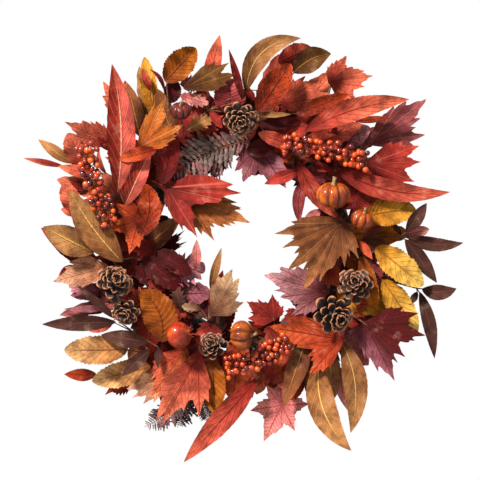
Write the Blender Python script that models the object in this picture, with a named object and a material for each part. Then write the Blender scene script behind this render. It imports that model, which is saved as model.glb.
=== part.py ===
"""A harvest door wreath: a wrapped ring that carries sprays of formed fabric leaves, pine
cones, small gourds and berry sprays, and a wire loop behind its top that it hangs by.

Metres, +Z up, seen from the front along +Y. The origin is inside the top of the hanging loop.
The planting plan is written in centimetres from the ring's centre, X to the right and Z up,
for a ring of PLAN_RADIUS. A wider ring carries every planted piece outwards with it."""

import math

import bmesh
import bpy
from mathutils import Matrix, Vector

# Ring and the wire parts tied to it
RING_RADIUS = 0.140
RING_TUBE = 0.015
WIRE_RADIUS = 0.0011
EYE_PLAY = 0.0012
EYE_RADIUS = 2.0 * WIRE_RADIUS + EYE_PLAY
LOOP_WIDTH = 0.026
LOOP_HEIGHT = 0.034
LOOP_BEND = 0.006
# Clearances
GAP = 0.0003
# Leaves and the layers that they are planted in
LAYER_PITCH = 0.0062
LAYER_SPREAD = 0.0075
LEVEL_LAYER = 3.0
SPREAD_SPAN = 0.14
SPREAD_POWER = 1.4
LEAF_THICKNESS = 0.0009
LEAF_FOLD = 0.10
STEM_RADIUS = 0.0009
# Outline of a lobed leaf: where a lobe is widest and how little it has behind its base, as
# shares of a lobe's length, and the gap in radians under which it closes round its base
LOBE_WIDEST = 0.5
BASE_SHARE = 0.10
OPEN_ANGLE = 1.6
# Berries
BERRY_RADIUS = 0.0040
BERRY_REACH = 0.0125
BERRY_STEM = 0.0013
# The plan's own unit, and the ring that it was drawn for
PLAN_UNIT = 0.01
PLAN_RADIUS = 0.140
# How finely round things are cut
RING_SEGMENTS = 36
TUBE_SEGMENTS = 8
BAND_SEGMENTS = 24
EYE_SEGMENTS = 12
CONE_SEGMENTS = 10
GOURD_RIBS = 8
WIRE_SIDES = 6
STEM_SIDES = 4
LEAF_STATIONS = (0.12, 0.30, 0.55, 0.80)
SMALL_LEAF_STATIONS = (0.25, 0.65)
SMALL_LEAF_WIDTH = 1.5

# The ring's centre hangs below the loop and in front of it
BAND_RADIUS = (RING_TUBE + GAP) / math.cos(math.pi / BAND_SEGMENTS) + WIRE_RADIUS + GAP
EYE_OUT = BAND_RADIUS + EYE_RADIUS
LOOP_DROP = LOOP_HEIGHT - WIRE_RADIUS
RING_CENTRE = Vector((0.0, -EYE_OUT, -LOOP_DROP - RING_RADIUS))

# Colour, roughness and metallic value of each finish
FINISHES = {
    "ring_wrap": ((0.020, 0.014, 0.011), 0.95, 0.0),
    "wire": ((0.085, 0.080, 0.075), 0.45, 1.0),
    "leaf_red": ((0.330, 0.040, 0.030), 0.75, 0.0),
    "leaf_salmon": ((0.560, 0.130, 0.075), 0.75, 0.0),
    "leaf_orange": ((0.600, 0.150, 0.035), 0.72, 0.0),
    "leaf_gold": ((0.560, 0.260, 0.050), 0.70, 0.0),
    "leaf_tan": ((0.300, 0.130, 0.050), 0.75, 0.0),
    "leaf_brown": ((0.110, 0.045, 0.028), 0.78, 0.0),
    "leaf_mauve": ((0.270, 0.095, 0.110), 0.78, 0.0),
    "fern": ((0.070, 0.045, 0.040), 0.80, 0.0),
    "cone": ((0.150, 0.065, 0.030), 0.80, 0.0),
    "gourd": ((0.420, 0.085, 0.020), 0.32, 0.0),
    "berry": ((0.500, 0.085, 0.020), 0.28, 0.0),
}


# ---- the planting plan

def lance(layer, base, tip, width, bow=0.0):
    return {"form": "lance", "layer": layer, "base": base, "tip": tip, "width": width, "bow": bow}


def oval(layer, base, tip, width, bow=0.0):
    return {"form": "oval", "layer": layer, "base": base, "tip": tip, "width": width, "bow": bow}


def fan(layer, base, tips, lobe=0.20, web=0.42):
    """A lobed leaf: lobe is a lobe's half width and web the depth of leaf between two lobes,
    both as shares of the lobe's length. The tips go round in one direction."""
    return {"form": "fan", "layer": layer, "base": base, "tips": tips, "lobe": lobe, "web": web}


# name: (finish, hub (x, z, layer), turn of the stem's foot round the ring in degrees, leaves)
SPRAYS = {
    # left and upper left
    "red_lance_spray_upper_left": ("leaf_red", (-16.4, 4.6, 6.6), 0, [
        lance(7.0, (-17.7, 7.0), (-18.2, 24.5), 3.9, -0.9),
        lance(7.0, (-16.7, 5.0), (-13.0, 13.0), 2.6),
    ]),
    "autumn_spray_upper_left": ("leaf_tan", (-13.4, 13.2, 3.4), 0, [
        lance(4.0, (-14.6, 14.8), (-16.4, 22.4), 2.6),
        oval(3.2, (-12.8, 17.8), (-14.0, 26.1), 2.4),
        lance(4.0, (-13.2, 21.3), (-14.3, 24.4), 1.1),
        fan(3.0, (-16.5, 17.0), [(-19.9, 22.7), (-16.8, 23.0), (-15.4, 21.4)], 0.16, 0.45),
    ]),
    "salmon_spray_far_left": ("leaf_salmon", (-18.6, 9.2, 3.0), 0, [
        lance(2.0, (-24.5, 11.2), (-29.3, 14.6), 1.7),
        lance(2.6, (-25.5, 10.7), (-31.3, 11.9), 0.9),
        lance(4.0, (-20.8, 9.3), (-26.2, 10.7), 1.7),
        oval(3.0, (-22.3, 10.4), (-24.9, 15.4), 3.4),
        lance(3.6, (-19.4, 9.6), (-20.4, 13.2), 0.8, 0.5),
        fan(4.0, (-18.9, 13.9), [(-18.6, 15.9), (-20.9, 17.1), (-25.0, 16.8), (-23.5, 14.9)],
            0.17, 0.40),
        lance(3.6, (-18.8, 12.9), (-20.6, 14.8), 1.2),
    ]),
    "maple_spray_left_inner": ("leaf_red", (-11.0, 7.4, 5.0), 0, [
        fan(5.4, (-10.8, 7.6), [(-10.4, 4.2), (-6.6, 0.7), (-3.0, 5.9), (-0.6, 6.9), (-1.5, 8.1),
                                (-13.0, 8.6)], 0.13, 0.42),
        oval(6.2, (-11.5, 8.1), (-9.7, 15.4), 3.0),
        fan(4.0, (-8.1, 6.2), [(-4.3, 0.3), (-2.6, 2.0), (-1.3, 2.6), (0.9, 2.8), (-0.4, 4.6),
                               (-1.1, 5.6)], 0.13, 0.55),
    ]),
    "mixed_spray_left_inner": ("leaf_brown", (-13.4, -4.0, 2.8), 0, [
        lance(3.0, (-15.0, -1.6), (-8.9, 3.6), 3.0),
        fan(2.0, (-12.9, -2.0), [(-8.0, 0.1), (-8.7, 0.7), (-8.3, 1.8)], 0.05, 0.30),
        fan(4.0, (-12.0, -6.0), [(-10.0, -6.9), (-10.2, -3.6), (-14.0, -1.5), (-16.0, -3.2)],
            0.22, 0.60),
        oval(3.0, (-11.0, -4.2), (-5.5, -3.6), 4.0),
        lance(3.6, (-6.8, -4.0), (-6.7, 0.3), 1.4),
    ]),
    "orange_red_maple_left": ("leaf_salmon", (-14.8, 3.2, 7.4), 0, [
        fan(7.5, (-14.8, 3.2), [(-16.0, -1.6), (-18.9, 1.6), (-18.0, 5.4), (-15.6, 5.6)],
            0.20, 0.50),
    ]),
    "spotted_oval_left": ("leaf_orange", (-14.4, 0.9, 8.0), -8, [
        oval(8.0, (-14.7, 0.9), (-13.8, 8.1), 3.4, -1.0),
    ]),
    "orange_oak_spray_upper_left": ("leaf_orange", (-13.2, 12.7, 7.9), 0, [
        fan(8.0, (-14.3, 13.3), [(-8.3, 16.4), (-10.8, 19.9)], 0.12, 0.40),
        oval(8.0, (-12.2, 12.9), (-17.4, 11.5), 1.9),
    ]),
    "serrated_spray_top_left": ("leaf_orange", (-10.6, 19.0, 4.6), 0, [
        oval(5.0, (-11.1, 22.5), (-6.7, 27.1), 3.8),
        oval(4.0, (-10.2, 19.6), (-9.8, 23.0), 2.4),
        lance(4.3, (-11.2, 21.2), (-13.3, 24.3), 0.6, -0.5),
    ]),
    "tan_lance_spray_left": ("leaf_tan", (-16.8, -2.4, 6.6), 0, [
        lance(7.0, (-17.0, -2.8), (-24.3, 7.4), 4.2, 0.5),
        lance(6.2, (-21.0, -1.5), (-27.9, 2.1), 4.0),
    ]),
    "red_lance_spray_left": ("leaf_red", (-18.0, -3.4, 4.2), 0, [
        lance(4.4, (-19.8, -4.0), (-28.5, 2.0), 3.0),
        fan(5.2, (-19.5, -3.6), [(-21.8, -5.7), (-26.7, -5.5), (-24.6, -2.7)], 0.18, 0.50),
        lance(3.2, (-24.0, -3.3), (-26.2, -4.8), 1.2),
        oval(3.2, (-23.4, 4.0), (-25.6, 8.2), 2.8),
        lance(3.2, (-22.0, 7.5), (-24.4, 8.4), 1.4),
    ]),
    # top
    "mixed_spray_top": ("leaf_red", (-5.0, 18.6, 5.0), 0, [
        lance(4.0, (-5.2, 21.5), (-3.4, 29.1), 2.3),
        fan(6.2, (-8.0, 21.6), [(-1.0, 23.5), (-2.1, 25.0)], 0.14, 0.60),
        oval(5.0, (-2.0, 18.0), (-2.0, 23.0), 4.5),
        lance(6.3, (0.0, 19.5), (-2.1, 26.7), 1.1),
        lance(5.6, (0.2, 21.0), (0.2, 25.9), 0.9),
        oval(4.8, (-9.0, 20.6), (-5.0, 19.4), 1.8),
        oval(4.5, (-9.0, 22.2), (-5.6, 22.6), 1.8),
        oval(5.0, (-4.8, 18.5), (-3.1, 16.0), 1.2),
        oval(5.0, (-8.0, 15.8), (-4.4, 17.5), 2.0),
    ]),
    "tan_lance_spray_top": ("leaf_tan", (3.6, 21.2, 5.0), 0, [
        lance(6.0, (0.3, 21.0), (7.9, 28.3), 3.1, 2.3),
        oval(4.2, (4.8, 25.2), (9.4, 27.3), 3.0),
        lance(5.8, (6.9, 23.6), (12.1, 26.2), 3.4, 0.5),
    ]),
    "spotted_spray_top": ("leaf_orange", (1.3, 18.2, 6.2), 0, [
        oval(7.0, (1.9, 18.2), (6.5, 24.8), 3.8),
        fan(5.0, (5.2, 19.4), [(12.6, 20.6), (10.5, 22.8), (8.5, 23.2)], 0.18, 0.60),
        oval(6.0, (7.2, 17.9), (14.4, 20.5), 2.2),
        lance(6.5, (2.2, 17.7), (6.6, 17.9), 0.8),
    ]),
    "mauve_maple_spray_top_inner": ("leaf_mauve", (3.4, 14.6, 4.6), 0, [
        fan(4.0, (2.0, 13.5), [(5.9, 7.6), (1.9, 10.2), (-0.2, 8.4), (-1.3, 10.0)], 0.20, 0.62),
        oval(6.0, (6.8, 13.5), (2.0, 15.3), 2.0),
        oval(5.0, (2.0, 16.5), (8.0, 17.0), 1.8),
        oval(5.0, (0.4, 13.0), (4.5, 13.4), 2.6),
    ]),
    "red_spray_right_inner": ("leaf_red", (8.6, 10.2, 4.6), 0, [
        lance(5.0, (7.8, 10.0), (2.9, 8.2), 1.8),
        lance(4.0, (8.5, 9.0), (7.9, 2.6), 1.8, -0.5),
        lance(4.2, (10.8, 4.6), (8.2, 2.3), 1.6),
        lance(5.6, (7.6, 11.5), (13.6, 3.2), 2.4, -0.8),
        lance(5.6, (9.6, 11.0), (12.2, 10.0), 1.3),
    ]),
    "fern_frond_top_inner": ("fern", (-0.6, 13.6, 3.6), 0, [
        oval(4.0, (-0.4, 13.8), (-10.8, 8.3), 5.0),
    ]),
    # right
    "red_maple_top_right": ("leaf_salmon", (12.0, 21.0, 3.8), 0, [
        fan(4.0, (12.2, 22.6), [(15.8, 19.9), (16.9, 21.8), (18.0, 23.3), (17.0, 24.1),
                                (14.4, 26.2), (12.4, 25.3)], 0.20, 0.62),
    ]),
    "salmon_lance_right": ("leaf_salmon", (8.8, 15.4, 6.8), 0, [
        lance(7.0, (8.5, 15.5), (22.7, 19.6), 3.2, 0.9),
    ]),
    "rose_maple_spray_right": ("leaf_mauve", (16.6, 13.0, 3.8), 0, [
        fan(4.0, (18.2, 14.2), [(25.3, 15.0), (24.2, 16.1), (25.6, 20.1), (21.1, 18.6)],
            0.15, 0.55),
        lance(4.6, (15.5, 17.0), (20.6, 17.4), 1.0),
        oval(3.6, (13.4, 13.8), (17.8, 16.2), 3.0),
        fan(5.0, (17.5, 11.0), [(23.8, 8.5), (24.6, 11.2), (24.4, 13.4)], 0.18, 0.60),
    ]),
    "red_lance_right": ("leaf_red", (13.2, 10.3, 6.9), 0, [
        lance(7.0, (12.8, 10.4), (28.4, 6.9), 3.0, -1.5),
    ]),
    "gold_ribbed_oval_right": ("leaf_gold", (16.8, 3.4, 6.0), 0, [
        oval(6.0, (17.0, 3.5), (24.0, 4.3), 4.0, 0.4),
    ]),
    "creeper_spray_right_upper": ("leaf_brown", (22.0, 0.8, 5.2), 0, [
        lance(7.0, (22.6, 1.3), (25.3, 5.4), 1.9),
        lance(5.2, (22.8, 0.8), (30.5, -0.1), 2.0, -0.7),
        lance(5.2, (22.6, 0.4), (27.0, -5.7), 2.2),
        lance(5.2, (22.1, 1.0), (20.6, 2.9), 0.8),
        oval(4.4, (22.4, 0.9), (26.0, 1.8), 1.8),
    ]),
    "creeper_spray_right_lower": ("leaf_brown", (24.3, -6.5, 4.2), 0, [
        lance(4.4, (25.0, -6.6), (29.7, -6.5), 2.2, -0.5),
        lance(4.4, (24.7, -7.0), (26.7, -16.3), 1.9, 0.3),
        lance(4.4, (24.4, -7.0), (23.2, -8.8), 1.0),
        lance(4.4, (24.2, -6.4), (19.5, -4.3), 1.0),
    ]),
    "yellow_spray_right": ("leaf_gold", (16.9, -2.2, 5.4), 0, [
        oval(6.0, (18.5, -0.7), (25.0, -6.1), 4.0),
        oval(5.0, (19.5, -5.3), (24.3, -12.7), 3.6),
        oval(5.4, (16.5, -2.0), (18.5, -9.7), 2.4),
        lance(5.8, (16.2, 0.2), (18.0, -2.4), 1.2),
    ]),
    "tan_maple_right": ("leaf_tan", (13.8, 2.4, 7.0), 0, [
        fan(7.0, (13.6, 2.7), [(16.0, -2.3), (14.1, -3.5), (10.8, -5.1), (8.2, -6.9), (6.0, -4.1),
                               (5.4, -0.8), (4.3, 1.2), (7.2, 2.5)], 0.13, 0.62),
    ]),
    "mauve_maple_right": ("leaf_mauve", (11.7, -7.0, 3.9), 0, [
        fan(4.0, (11.5, -7.0), [(6.7, -10.4), (5.0, -7.8), (2.7, -4.6), (5.0, -3.7),
                                (9.0, -3.4)], 0.17, 0.52),
    ]),
    "rose_maple_lower_right": ("leaf_mauve", (16.6, -11.2, 5.8), 0, [
        fan(6.0, (17.1, -11.6), [(14.3, -13.6), (16.9, -16.3), (20.8, -19.1), (22.3, -15.9),
                                 (23.7, -13.7), (25.1, -12.9), (24.1, -9.9)], 0.16, 0.58),
    ]),
    # bottom
    "orange_maple_bottom": ("leaf_orange", (13.4, -13.4, 6.9), 0, [
        fan(7.0, (13.4, -13.6), [(9.0, -18.6), (8.8, -16.0), (3.4, -11.8), (8.8, -10.6)],
            0.15, 0.50),
    ]),
    "brown_lance_spray_bottom": ("leaf_tan", (10.4, -13.4, 5.6), 0, [
        lance(6.2, (10.6, -16.5), (14.8, -28.8), 3.9, -1.8),
        lance(5.8, (13.7, -14.0), (14.8, -26.5), 3.4, 1.3),
        lance(5.8, (9.0, -13.0), (5.5, -23.0), 3.0),
    ]),
    "pink_maple_bottom": ("leaf_salmon", (6.6, -17.0, 4.0), 0, [
        fan(4.0, (5.3, -23.0), [(3.1, -20.2), (0.9, -23.7), (2.8, -27.8), (7.1, -26.5),
                                (9.2, -22.8), (5.0, -19.4)], 0.20, 0.50),
        oval(4.6, (8.2, -19.0), (6.6, -22.3), 1.8),
        lance(3.6, (12.9, -17.0), (14.6, -23.7), 2.0),
    ]),
    "red_maple_bottom_inner": ("leaf_red", (4.2, -11.2, 3.9), 0, [
        fan(4.0, (4.3, -10.8), [(5.6, -9.0), (4.0, -7.4), (1.7, -8.5), (0.4, -8.4),
                                (0.5, -10.8)], 0.22, 0.60),
    ]),
    "red_lance_bottom": ("leaf_red", (2.0, -18.8, 6.9), 0, [
        lance(7.0, (2.0, -19.0), (-8.3, -30.3), 3.2),
    ]),
    "salmon_maple_spray_bottom": ("leaf_salmon", (-5.6, -15.8, 6.2), 0, [
        oval(6.0, (-4.5, -16.3), (-4.0, -24.0), 3.4),
        fan(7.0, (-6.5, -16.0), [(-12.0, -24.2), (-11.2, -24.9), (-6.2, -24.0)], 0.17, 0.60),
    ]),
    "fern_frond_bottom": ("fern", (-7.4, -19.0, 3.8), 0, [
        oval(4.0, (-7.3, -20.3), (-13.4, -25.8), 2.8),
        oval(4.0, (-6.8, -20.4), (-4.9, -25.2), 2.4),
        oval(3.4, (-7.1, -20.2), (-9.2, -26.0), 2.4),
    ]),
    "orange_maple_bottom_left": ("leaf_orange", (-9.0, -15.8, 5.2), 0, [
        fan(6.0, (-8.3, -15.3), [(-13.5, -18.5), (-13.0, -21.5), (-9.6, -20.6)], 0.20, 0.60),
        fan(5.0, (-10.5, -19.0), [(-16.5, -20.5), (-15.5, -21.7), (-14.1, -22.6)], 0.16, 0.62),
    ]),
    "yellow_spray_lower_left": ("leaf_gold", (-14.2, -15.6, 4.8), 0, [
        oval(6.0, (-16.2, -15.0), (-25.0, -15.0), 4.0),
        oval(5.0, (-13.1, -17.5), (-21.3, -19.5), 3.6),
        lance(3.0, (-20.8, -18.8), (-25.4, -18.7), 1.8),
        oval(2.2, (-15.9, -20.4), (-18.7, -21.2), 1.6),
    ]),
    "creeper_spray_left": ("leaf_brown", (-15.6, -12.6, 5.4), 0, [
        lance(6.2, (-17.9, -11.2), (-28.0, -11.4), 2.2),
        lance(5.4, (-18.0, -10.8), (-23.3, -6.0), 1.2),
        lance(6.9, (-13.5, -14.0), (-19.9, -12.9), 2.4),
        lance(6.9, (-13.2, -15.0), (-16.9, -18.6), 1.9),
        lance(6.9, (-12.0, -14.6), (-12.0, -17.5), 1.0),
    ]),
    "mauve_spray_left": ("leaf_mauve", (-17.0, -9.4, 2.9), 0, [
        oval(3.2, (-20.3, -7.5), (-24.8, -5.9), 2.4),
        lance(3.2, (-19.0, -9.4), (-25.5, -9.5), 1.0),
        oval(3.2, (-18.6, -11.4), (-22.1, -12.4), 1.8),
    ]),
    "gold_ribbed_oval_left": ("leaf_gold", (-11.8, -13.8, 8.0), 0, [
        oval(8.0, (-11.5, -14.0), (-14.4, -6.8), 4.8, -1.2),
    ]),
    "brown_maple_spray_inner": ("leaf_brown", (-5.0, -11.0, 4.4), 0, [
        lance(4.4, (-4.8, -6.6), (-3.2, -0.8), 1.2),
        lance(4.4, (-4.7, -9.6), (-3.0, -4.0), 1.8),
        fan(5.2, (-4.3, -10.0), [(-0.1, -8.5), (-0.6, -5.1), (-1.7, -3.9)], 0.20, 0.60),
        oval(5.2, (-6.0, -9.4), (-8.8, -9.0), 1.2),
        oval(4.4, (-8.8, -9.6), (-9.8, -6.0), 1.8),
    ]),
}

# name: (x, z, seat layer, radius, turn of the wire's foot)
CONES = {
    "pine_cone_top": (-0.5, 17.0, 7.2, 2.35, 0),
    "pine_cone_left": (-18.0, -5.5, 7.6, 2.5, 0),
    "pine_cone_lower_left": (-16.6, -9.9, 7.2, 1.9, 0),
    "pine_cone_right": (15.4, -5.9, 7.2, 2.4, 0),
    "pine_cone_lower_right": (12.8, -10.3, 7.2, 2.8, 0),
    "pine_cone_bottom": (-4.5, -14.3, 7.2, 1.85, 0),
}
# name: (x, z, seat layer, radius, stem's lean from up towards the right, lean forwards, foot turn)
GOURDS = {
    "gourd_top_left": (-8.8, 18.2, 7.4, 1.5, 0, 35, 10),
    "gourd_right": (12.4, 6.6, 7.4, 2.35, 0, 15, 5),
    "gourd_right_small": (16.4, 3.2, 7.4, 1.65, 20, 25, 0),
    "gourd_bottom": (-0.3, -13.0, 7.4, 2.1, 90, 10, 0),
    "pomegranate_bottom_left": (-9.0, -12.9, 8.5, 1.9, 75, 20, 0),
}
# name: (layer, berries, turn of the foot, points of the stem)
BERRIES = {
    "berry_spray_left": (8.2, 13, 0, [(-21.8, 13.4), (-21.3, 10.6), (-20.7, 7.2), (-19.4, 4.4),
                                      (-18.5, 2.4)]),
    "berry_spray_right": (8.2, 12, 0, [(17.0, 11.2), (14.6, 12.0), (11.6, 12.6), (8.0, 13.6),
                                       (5.4, 13.6)]),
    "berry_spray_bottom": (8.2, 12, 0, [(-2.6, -17.6), (0.2, -16.9), (3.0, -15.8), (6.2, -14.0)]),
}


# ---- places

def planted(x, z):
    """A plan point as a distance from the ring's centre, moved out with the ring."""
    point = Vector((x, 0.0, z)) * PLAN_UNIT
    return point * (1.0 + (RING_RADIUS - PLAN_RADIUS) / max(point.length, PLAN_UNIT))


def shell_depth(layer, point):
    """How far in front of the ring's centre a layer lies. The layers spread apart, like the
    petals of a rosette, with the distance from the ring."""
    away = abs(math.hypot(point.x, point.z) - RING_RADIUS) / SPREAD_SPAN
    flare = LAYER_SPREAD * (layer - LEVEL_LAYER) * away ** SPREAD_POWER
    return RING_TUBE + LAYER_PITCH * layer + flare


def on_layer(layer, x, z):
    point = planted(x, z)
    return Vector((point.x, -shell_depth(layer, point), point.z))


# ---- meshes

def new_object(name, mesh_maker, finish, parent, location=(0.0, 0.0, 0.0)):
    mesh = bpy.data.meshes.new(name)
    edit = bmesh.new()
    mesh_maker(edit)
    bmesh.ops.recalc_face_normals(edit, faces=edit.faces)
    edit.to_mesh(mesh)
    edit.free()
    mesh.materials.append(bpy.data.materials[finish])
    thing = bpy.data.objects.new(name, mesh)
    bpy.context.scene.collection.objects.link(thing)
    thing.parent = parent
    thing.location = location
    return thing


def add_slab(edit, front, rim, faces):
    """A thin closed plate: front points, their faces, and the rim that runs round them."""
    back_step = Vector((0.0, LEAF_THICKNESS, 0.0))
    fore = [edit.verts.new(point) for point in front]
    rear = [edit.verts.new(point + back_step) for point in front]
    for face in faces:
        edit.faces.new([fore[i] for i in face])
        edit.faces.new([rear[i] for i in reversed(face)])
    for i, j in zip(rim, rim[1:] + rim[:1]):
        edit.faces.new([fore[i], rear[i], rear[j], fore[j]])


def spine_point(leaf, t):
    """A point on the leaf's midrib, on the plan, and the direction across it."""
    base, tip = Vector(leaf["base"]), Vector(leaf["tip"])
    chord = tip - base
    left = Vector((-chord.y, chord.x)).normalized()
    bow = leaf["bow"]
    point = base + chord * t + left * (4.0 * bow * t * (1.0 - t))
    along = (chord + left * (4.0 * bow * (1.0 - 2.0 * t))).normalized()
    return point, Vector((-along.y, along.x))


def half_width(leaf, t):
    if leaf["form"] == "lance":
        share = math.sin(math.pi * t ** 0.85) ** 0.85
    else:
        share = math.sin(math.pi * t ** 0.90) ** 0.60
    return 0.5 * leaf["width"] * share


def blade_mesh(edit, leaf):
    """A lance or an oval leaf: a left edge, a midrib and a right edge, folded along the midrib."""
    stations = SMALL_LEAF_STATIONS if leaf["width"] < SMALL_LEAF_WIDTH else LEAF_STATIONS
    front = []
    for t in (0.0,) + stations + (1.0,):
        point, across = spine_point(leaf, t)
        if t in (0.0, 1.0):
            front.append(on_layer(leaf["layer"], *point))
            continue
        half = half_width(leaf, t)
        lift = Vector((0.0, LEAF_FOLD * half * PLAN_UNIT, 0.0))
        front.append(on_layer(leaf["layer"], *(point + across * half)) - lift)
        front.append(on_layer(leaf["layer"], *point))
        front.append(on_layer(leaf["layer"], *(point - across * half)) - lift)
    last = len(front) - 1
    faces = [(0, 2, 1), (0, 3, 2), (last, last - 3, last - 2), (last, last - 2, last - 1)]
    for k in range(len(stations) - 1):
        low = 1 + 3 * k
        faces += [(low, low + 1, low + 4, low + 3), (low + 1, low + 2, low + 5, low + 4)]
    left_side = [1 + 3 * k for k in range(len(stations))]
    right_side = [3 + 3 * k for k in reversed(range(len(stations)))]
    triangles = []
    for face in faces:
        triangles += [face] if len(face) == 3 else [face[:3], (face[0], face[2], face[3])]
    add_slab(edit, front, [0] + left_side + [last] + right_side, triangles)


def lobes_of(leaf):
    """(angle, length) of each lobe about the leaf's base. A leaf that goes nearly all the way
    round its base lists its first lobe again at the end."""
    base = Vector(leaf["base"])
    lobes = []
    for tip in leaf["tips"]:
        arm = Vector(tip) - base
        angle = math.atan2(arm.y, arm.x)
        if lobes:
            angle = lobes[-1][0] + math.remainder(angle - lobes[-1][0], 2.0 * math.pi)
        lobes.append((angle, arm.length))
    lobes.sort()
    if lobes[-1][0] - lobes[0][0] > 2.0 * math.pi - OPEN_ANGLE:
        lobes.append((lobes[0][0] + 2.0 * math.pi, lobes[0][1]))
    return lobes


def lobe_reach(leaf, angle, lobes):
    """How far the leaf reaches from its base at this angle: the longest lobe there, or the web."""
    reach = BASE_SHARE * max(length for _, length in lobes)
    for (a, la), (b, lb) in zip(lobes, lobes[1:]):
        if a <= angle <= b:
            reach = max(reach, leaf["web"] * min(la, lb))
    for middle, length in lobes:
        off = abs(angle - middle)
        half = leaf["lobe"] * length
        if off < math.atan2(leaf["lobe"], LOBE_WIDEST):
            past = (1.0 - LOBE_WIDEST) * length
            reach = max(reach, half * length / (half + past * math.tan(off)) / math.cos(off))
    return reach


def fan_angles(leaf, lobes):
    """The angles at which the outline of a lobed leaf has its points."""
    shoulder = math.atan2(leaf["lobe"], LOBE_WIDEST)
    angles = []
    for (a, _), (b, _) in zip(lobes, lobes[1:]):
        inner = min(0.98 * shoulder, 0.3 * (b - a))
        angles += [a, a + inner, 0.5 * (a + b), b - inner]
    first, last = lobes[0][0], lobes[-1][0]
    if last - first > 2.0 * math.pi - 1e-6:
        return angles
    rest = 2.0 * math.pi - (last - first)
    side = min(0.98 * shoulder, 0.2 * rest)
    angles += [last, last + side, last + 1.5 * side, last + 0.5 * rest]
    return [first - 1.5 * side, first - side] + angles


def fan_mesh(edit, leaf):
    """A lobed leaf: a fan of faces from the base to an outline given by angle and reach."""
    base = Vector(leaf["base"])
    lobes = lobes_of(leaf)
    angles = fan_angles(leaf, lobes)
    front = [on_layer(leaf["layer"], *base)]
    for angle in angles:
        reach = lobe_reach(leaf, angle, lobes)
        point = base + reach * Vector((math.cos(angle), math.sin(angle)))
        front.append(on_layer(leaf["layer"], *point))
    count = len(angles)
    faces = [(0, 1 + k, 1 + (k + 1) % count) for k in range(count)]
    add_slab(edit, front, list(range(1, count + 1)), faces)


def leaf_mesh(edit, leaf):
    if leaf["form"] == "fan":
        fan_mesh(edit, leaf)
    else:
        blade_mesh(edit, leaf)


def add_rod(edit, start, end, radius, sides=STEM_SIDES):
    """A closed rod between two points."""
    along = (end - start).normalized()
    across = along.orthogonal().normalized()
    other = along.cross(across)
    rings = []
    for point in (start, end):
        turns = [2.0 * math.pi * k / sides for k in range(sides)]
        rings.append([
            edit.verts.new(point + radius * (across * math.cos(a) + other * math.sin(a)))
            for a in turns
        ])
    for k in range(sides):
        n = (k + 1) % sides
        edit.faces.new([rings[0][k], rings[0][n], rings[1][n], rings[1][k]])
    edit.faces.new(rings[0][::-1])
    edit.faces.new(rings[1])


def add_rings(edit, rings, tops=(None, None)):
    """A closed skin over rings of points, ended by a point or by a flat cap."""
    made = [[edit.verts.new(point) for point in ring] for ring in rings]
    sides = len(made[0])
    for low, high in zip(made, made[1:]):
        for k in range(sides):
            n = (k + 1) % sides
            edit.faces.new([low[k], low[n], high[n], high[k]])
    for ring, top in ((made[0][::-1], tops[0]), (made[-1], tops[1])):
        if top is None:
            edit.faces.new(ring)
            continue
        point = edit.verts.new(top)
        for k in range(sides):
            edit.faces.new([ring[k], ring[(k + 1) % sides], point])


def add_torus(edit, centre, axis, radius, tube, around, sides):
    """A ring about an axis, made by turning its round section."""
    across = axis.orthogonal().normalized()
    section = [
        edit.verts.new(centre + across * (radius + tube * math.cos(a)) + axis * tube * math.sin(a))
        for a in (2.0 * math.pi * k / sides for k in range(sides))
    ]
    edges = [edit.edges.new((section[k], section[(k + 1) % sides])) for k in range(sides)]
    bmesh.ops.spin(edit, geom=section + edges, cent=centre, axis=axis, angle=2.0 * math.pi,
                   steps=around, use_merge=True)


def tube_mesh(points, radius, sides):
    """A maker of a closed bent wire that goes round through these points."""
    def make(edit):
        rings = []
        count = len(points)
        normal = (points[1] - points[0]).cross(points[2] - points[1]).normalized()
        for k, point in enumerate(points):
            along = (points[(k + 1) % count] - points[k - 1]).normalized()
            across = along.cross(normal).normalized()
            rings.append([
                edit.verts.new(point + radius * (across * math.cos(a) + normal * math.sin(a)))
                for a in (2.0 * math.pi * s / sides for s in range(sides))
            ])
        for low, high in zip(rings, rings[1:] + rings[:1]):
            for s in range(sides):
                n = (s + 1) % sides
                edit.faces.new([low[s], low[n], high[n], high[s]])
    return make


# ---- joining the pieces of one node

def joined(name, makers, finish, parent):
    """One object from several overlapping closed meshes, by a union of the rest to the first."""
    thing = new_object(name, makers[0], finish, parent)
    rest = bpy.data.collections.new(name + "_rest")
    bpy.context.scene.collection.children.link(rest)
    rest.hide_render = True
    for k, maker in enumerate(makers[1:]):
        piece = new_object(f"{name}_rest_{k}", maker, finish, parent)
        bpy.context.scene.collection.objects.unlink(piece)
        rest.objects.link(piece)
        piece.hide_render = True
        piece.display_type = "WIRE"
    union = thing.modifiers.new("join", "BOOLEAN")
    union.operation = "UNION"
    union.operand_type = "COLLECTION"
    union.collection = rest
    union.solver = "EXACT"
    return thing


def foot_of(point, turn):
    """Where a stem from this point meets the wrapped ring: just clear of its surface, at the
    point's own place round the ring plus a turn in degrees."""
    angle = math.atan2(point.z, point.x) + math.radians(turn)
    centre = RING_RADIUS * Vector((math.cos(angle), 0.0, math.sin(angle)))
    toward = (point - centre).normalized()
    return centre + toward * (RING_TUBE + GAP + STEM_RADIUS)


def stem(start, end, radius=STEM_RADIUS):
    return lambda edit: add_rod(edit, start, end, radius)


# ---- the sub-parts

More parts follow.
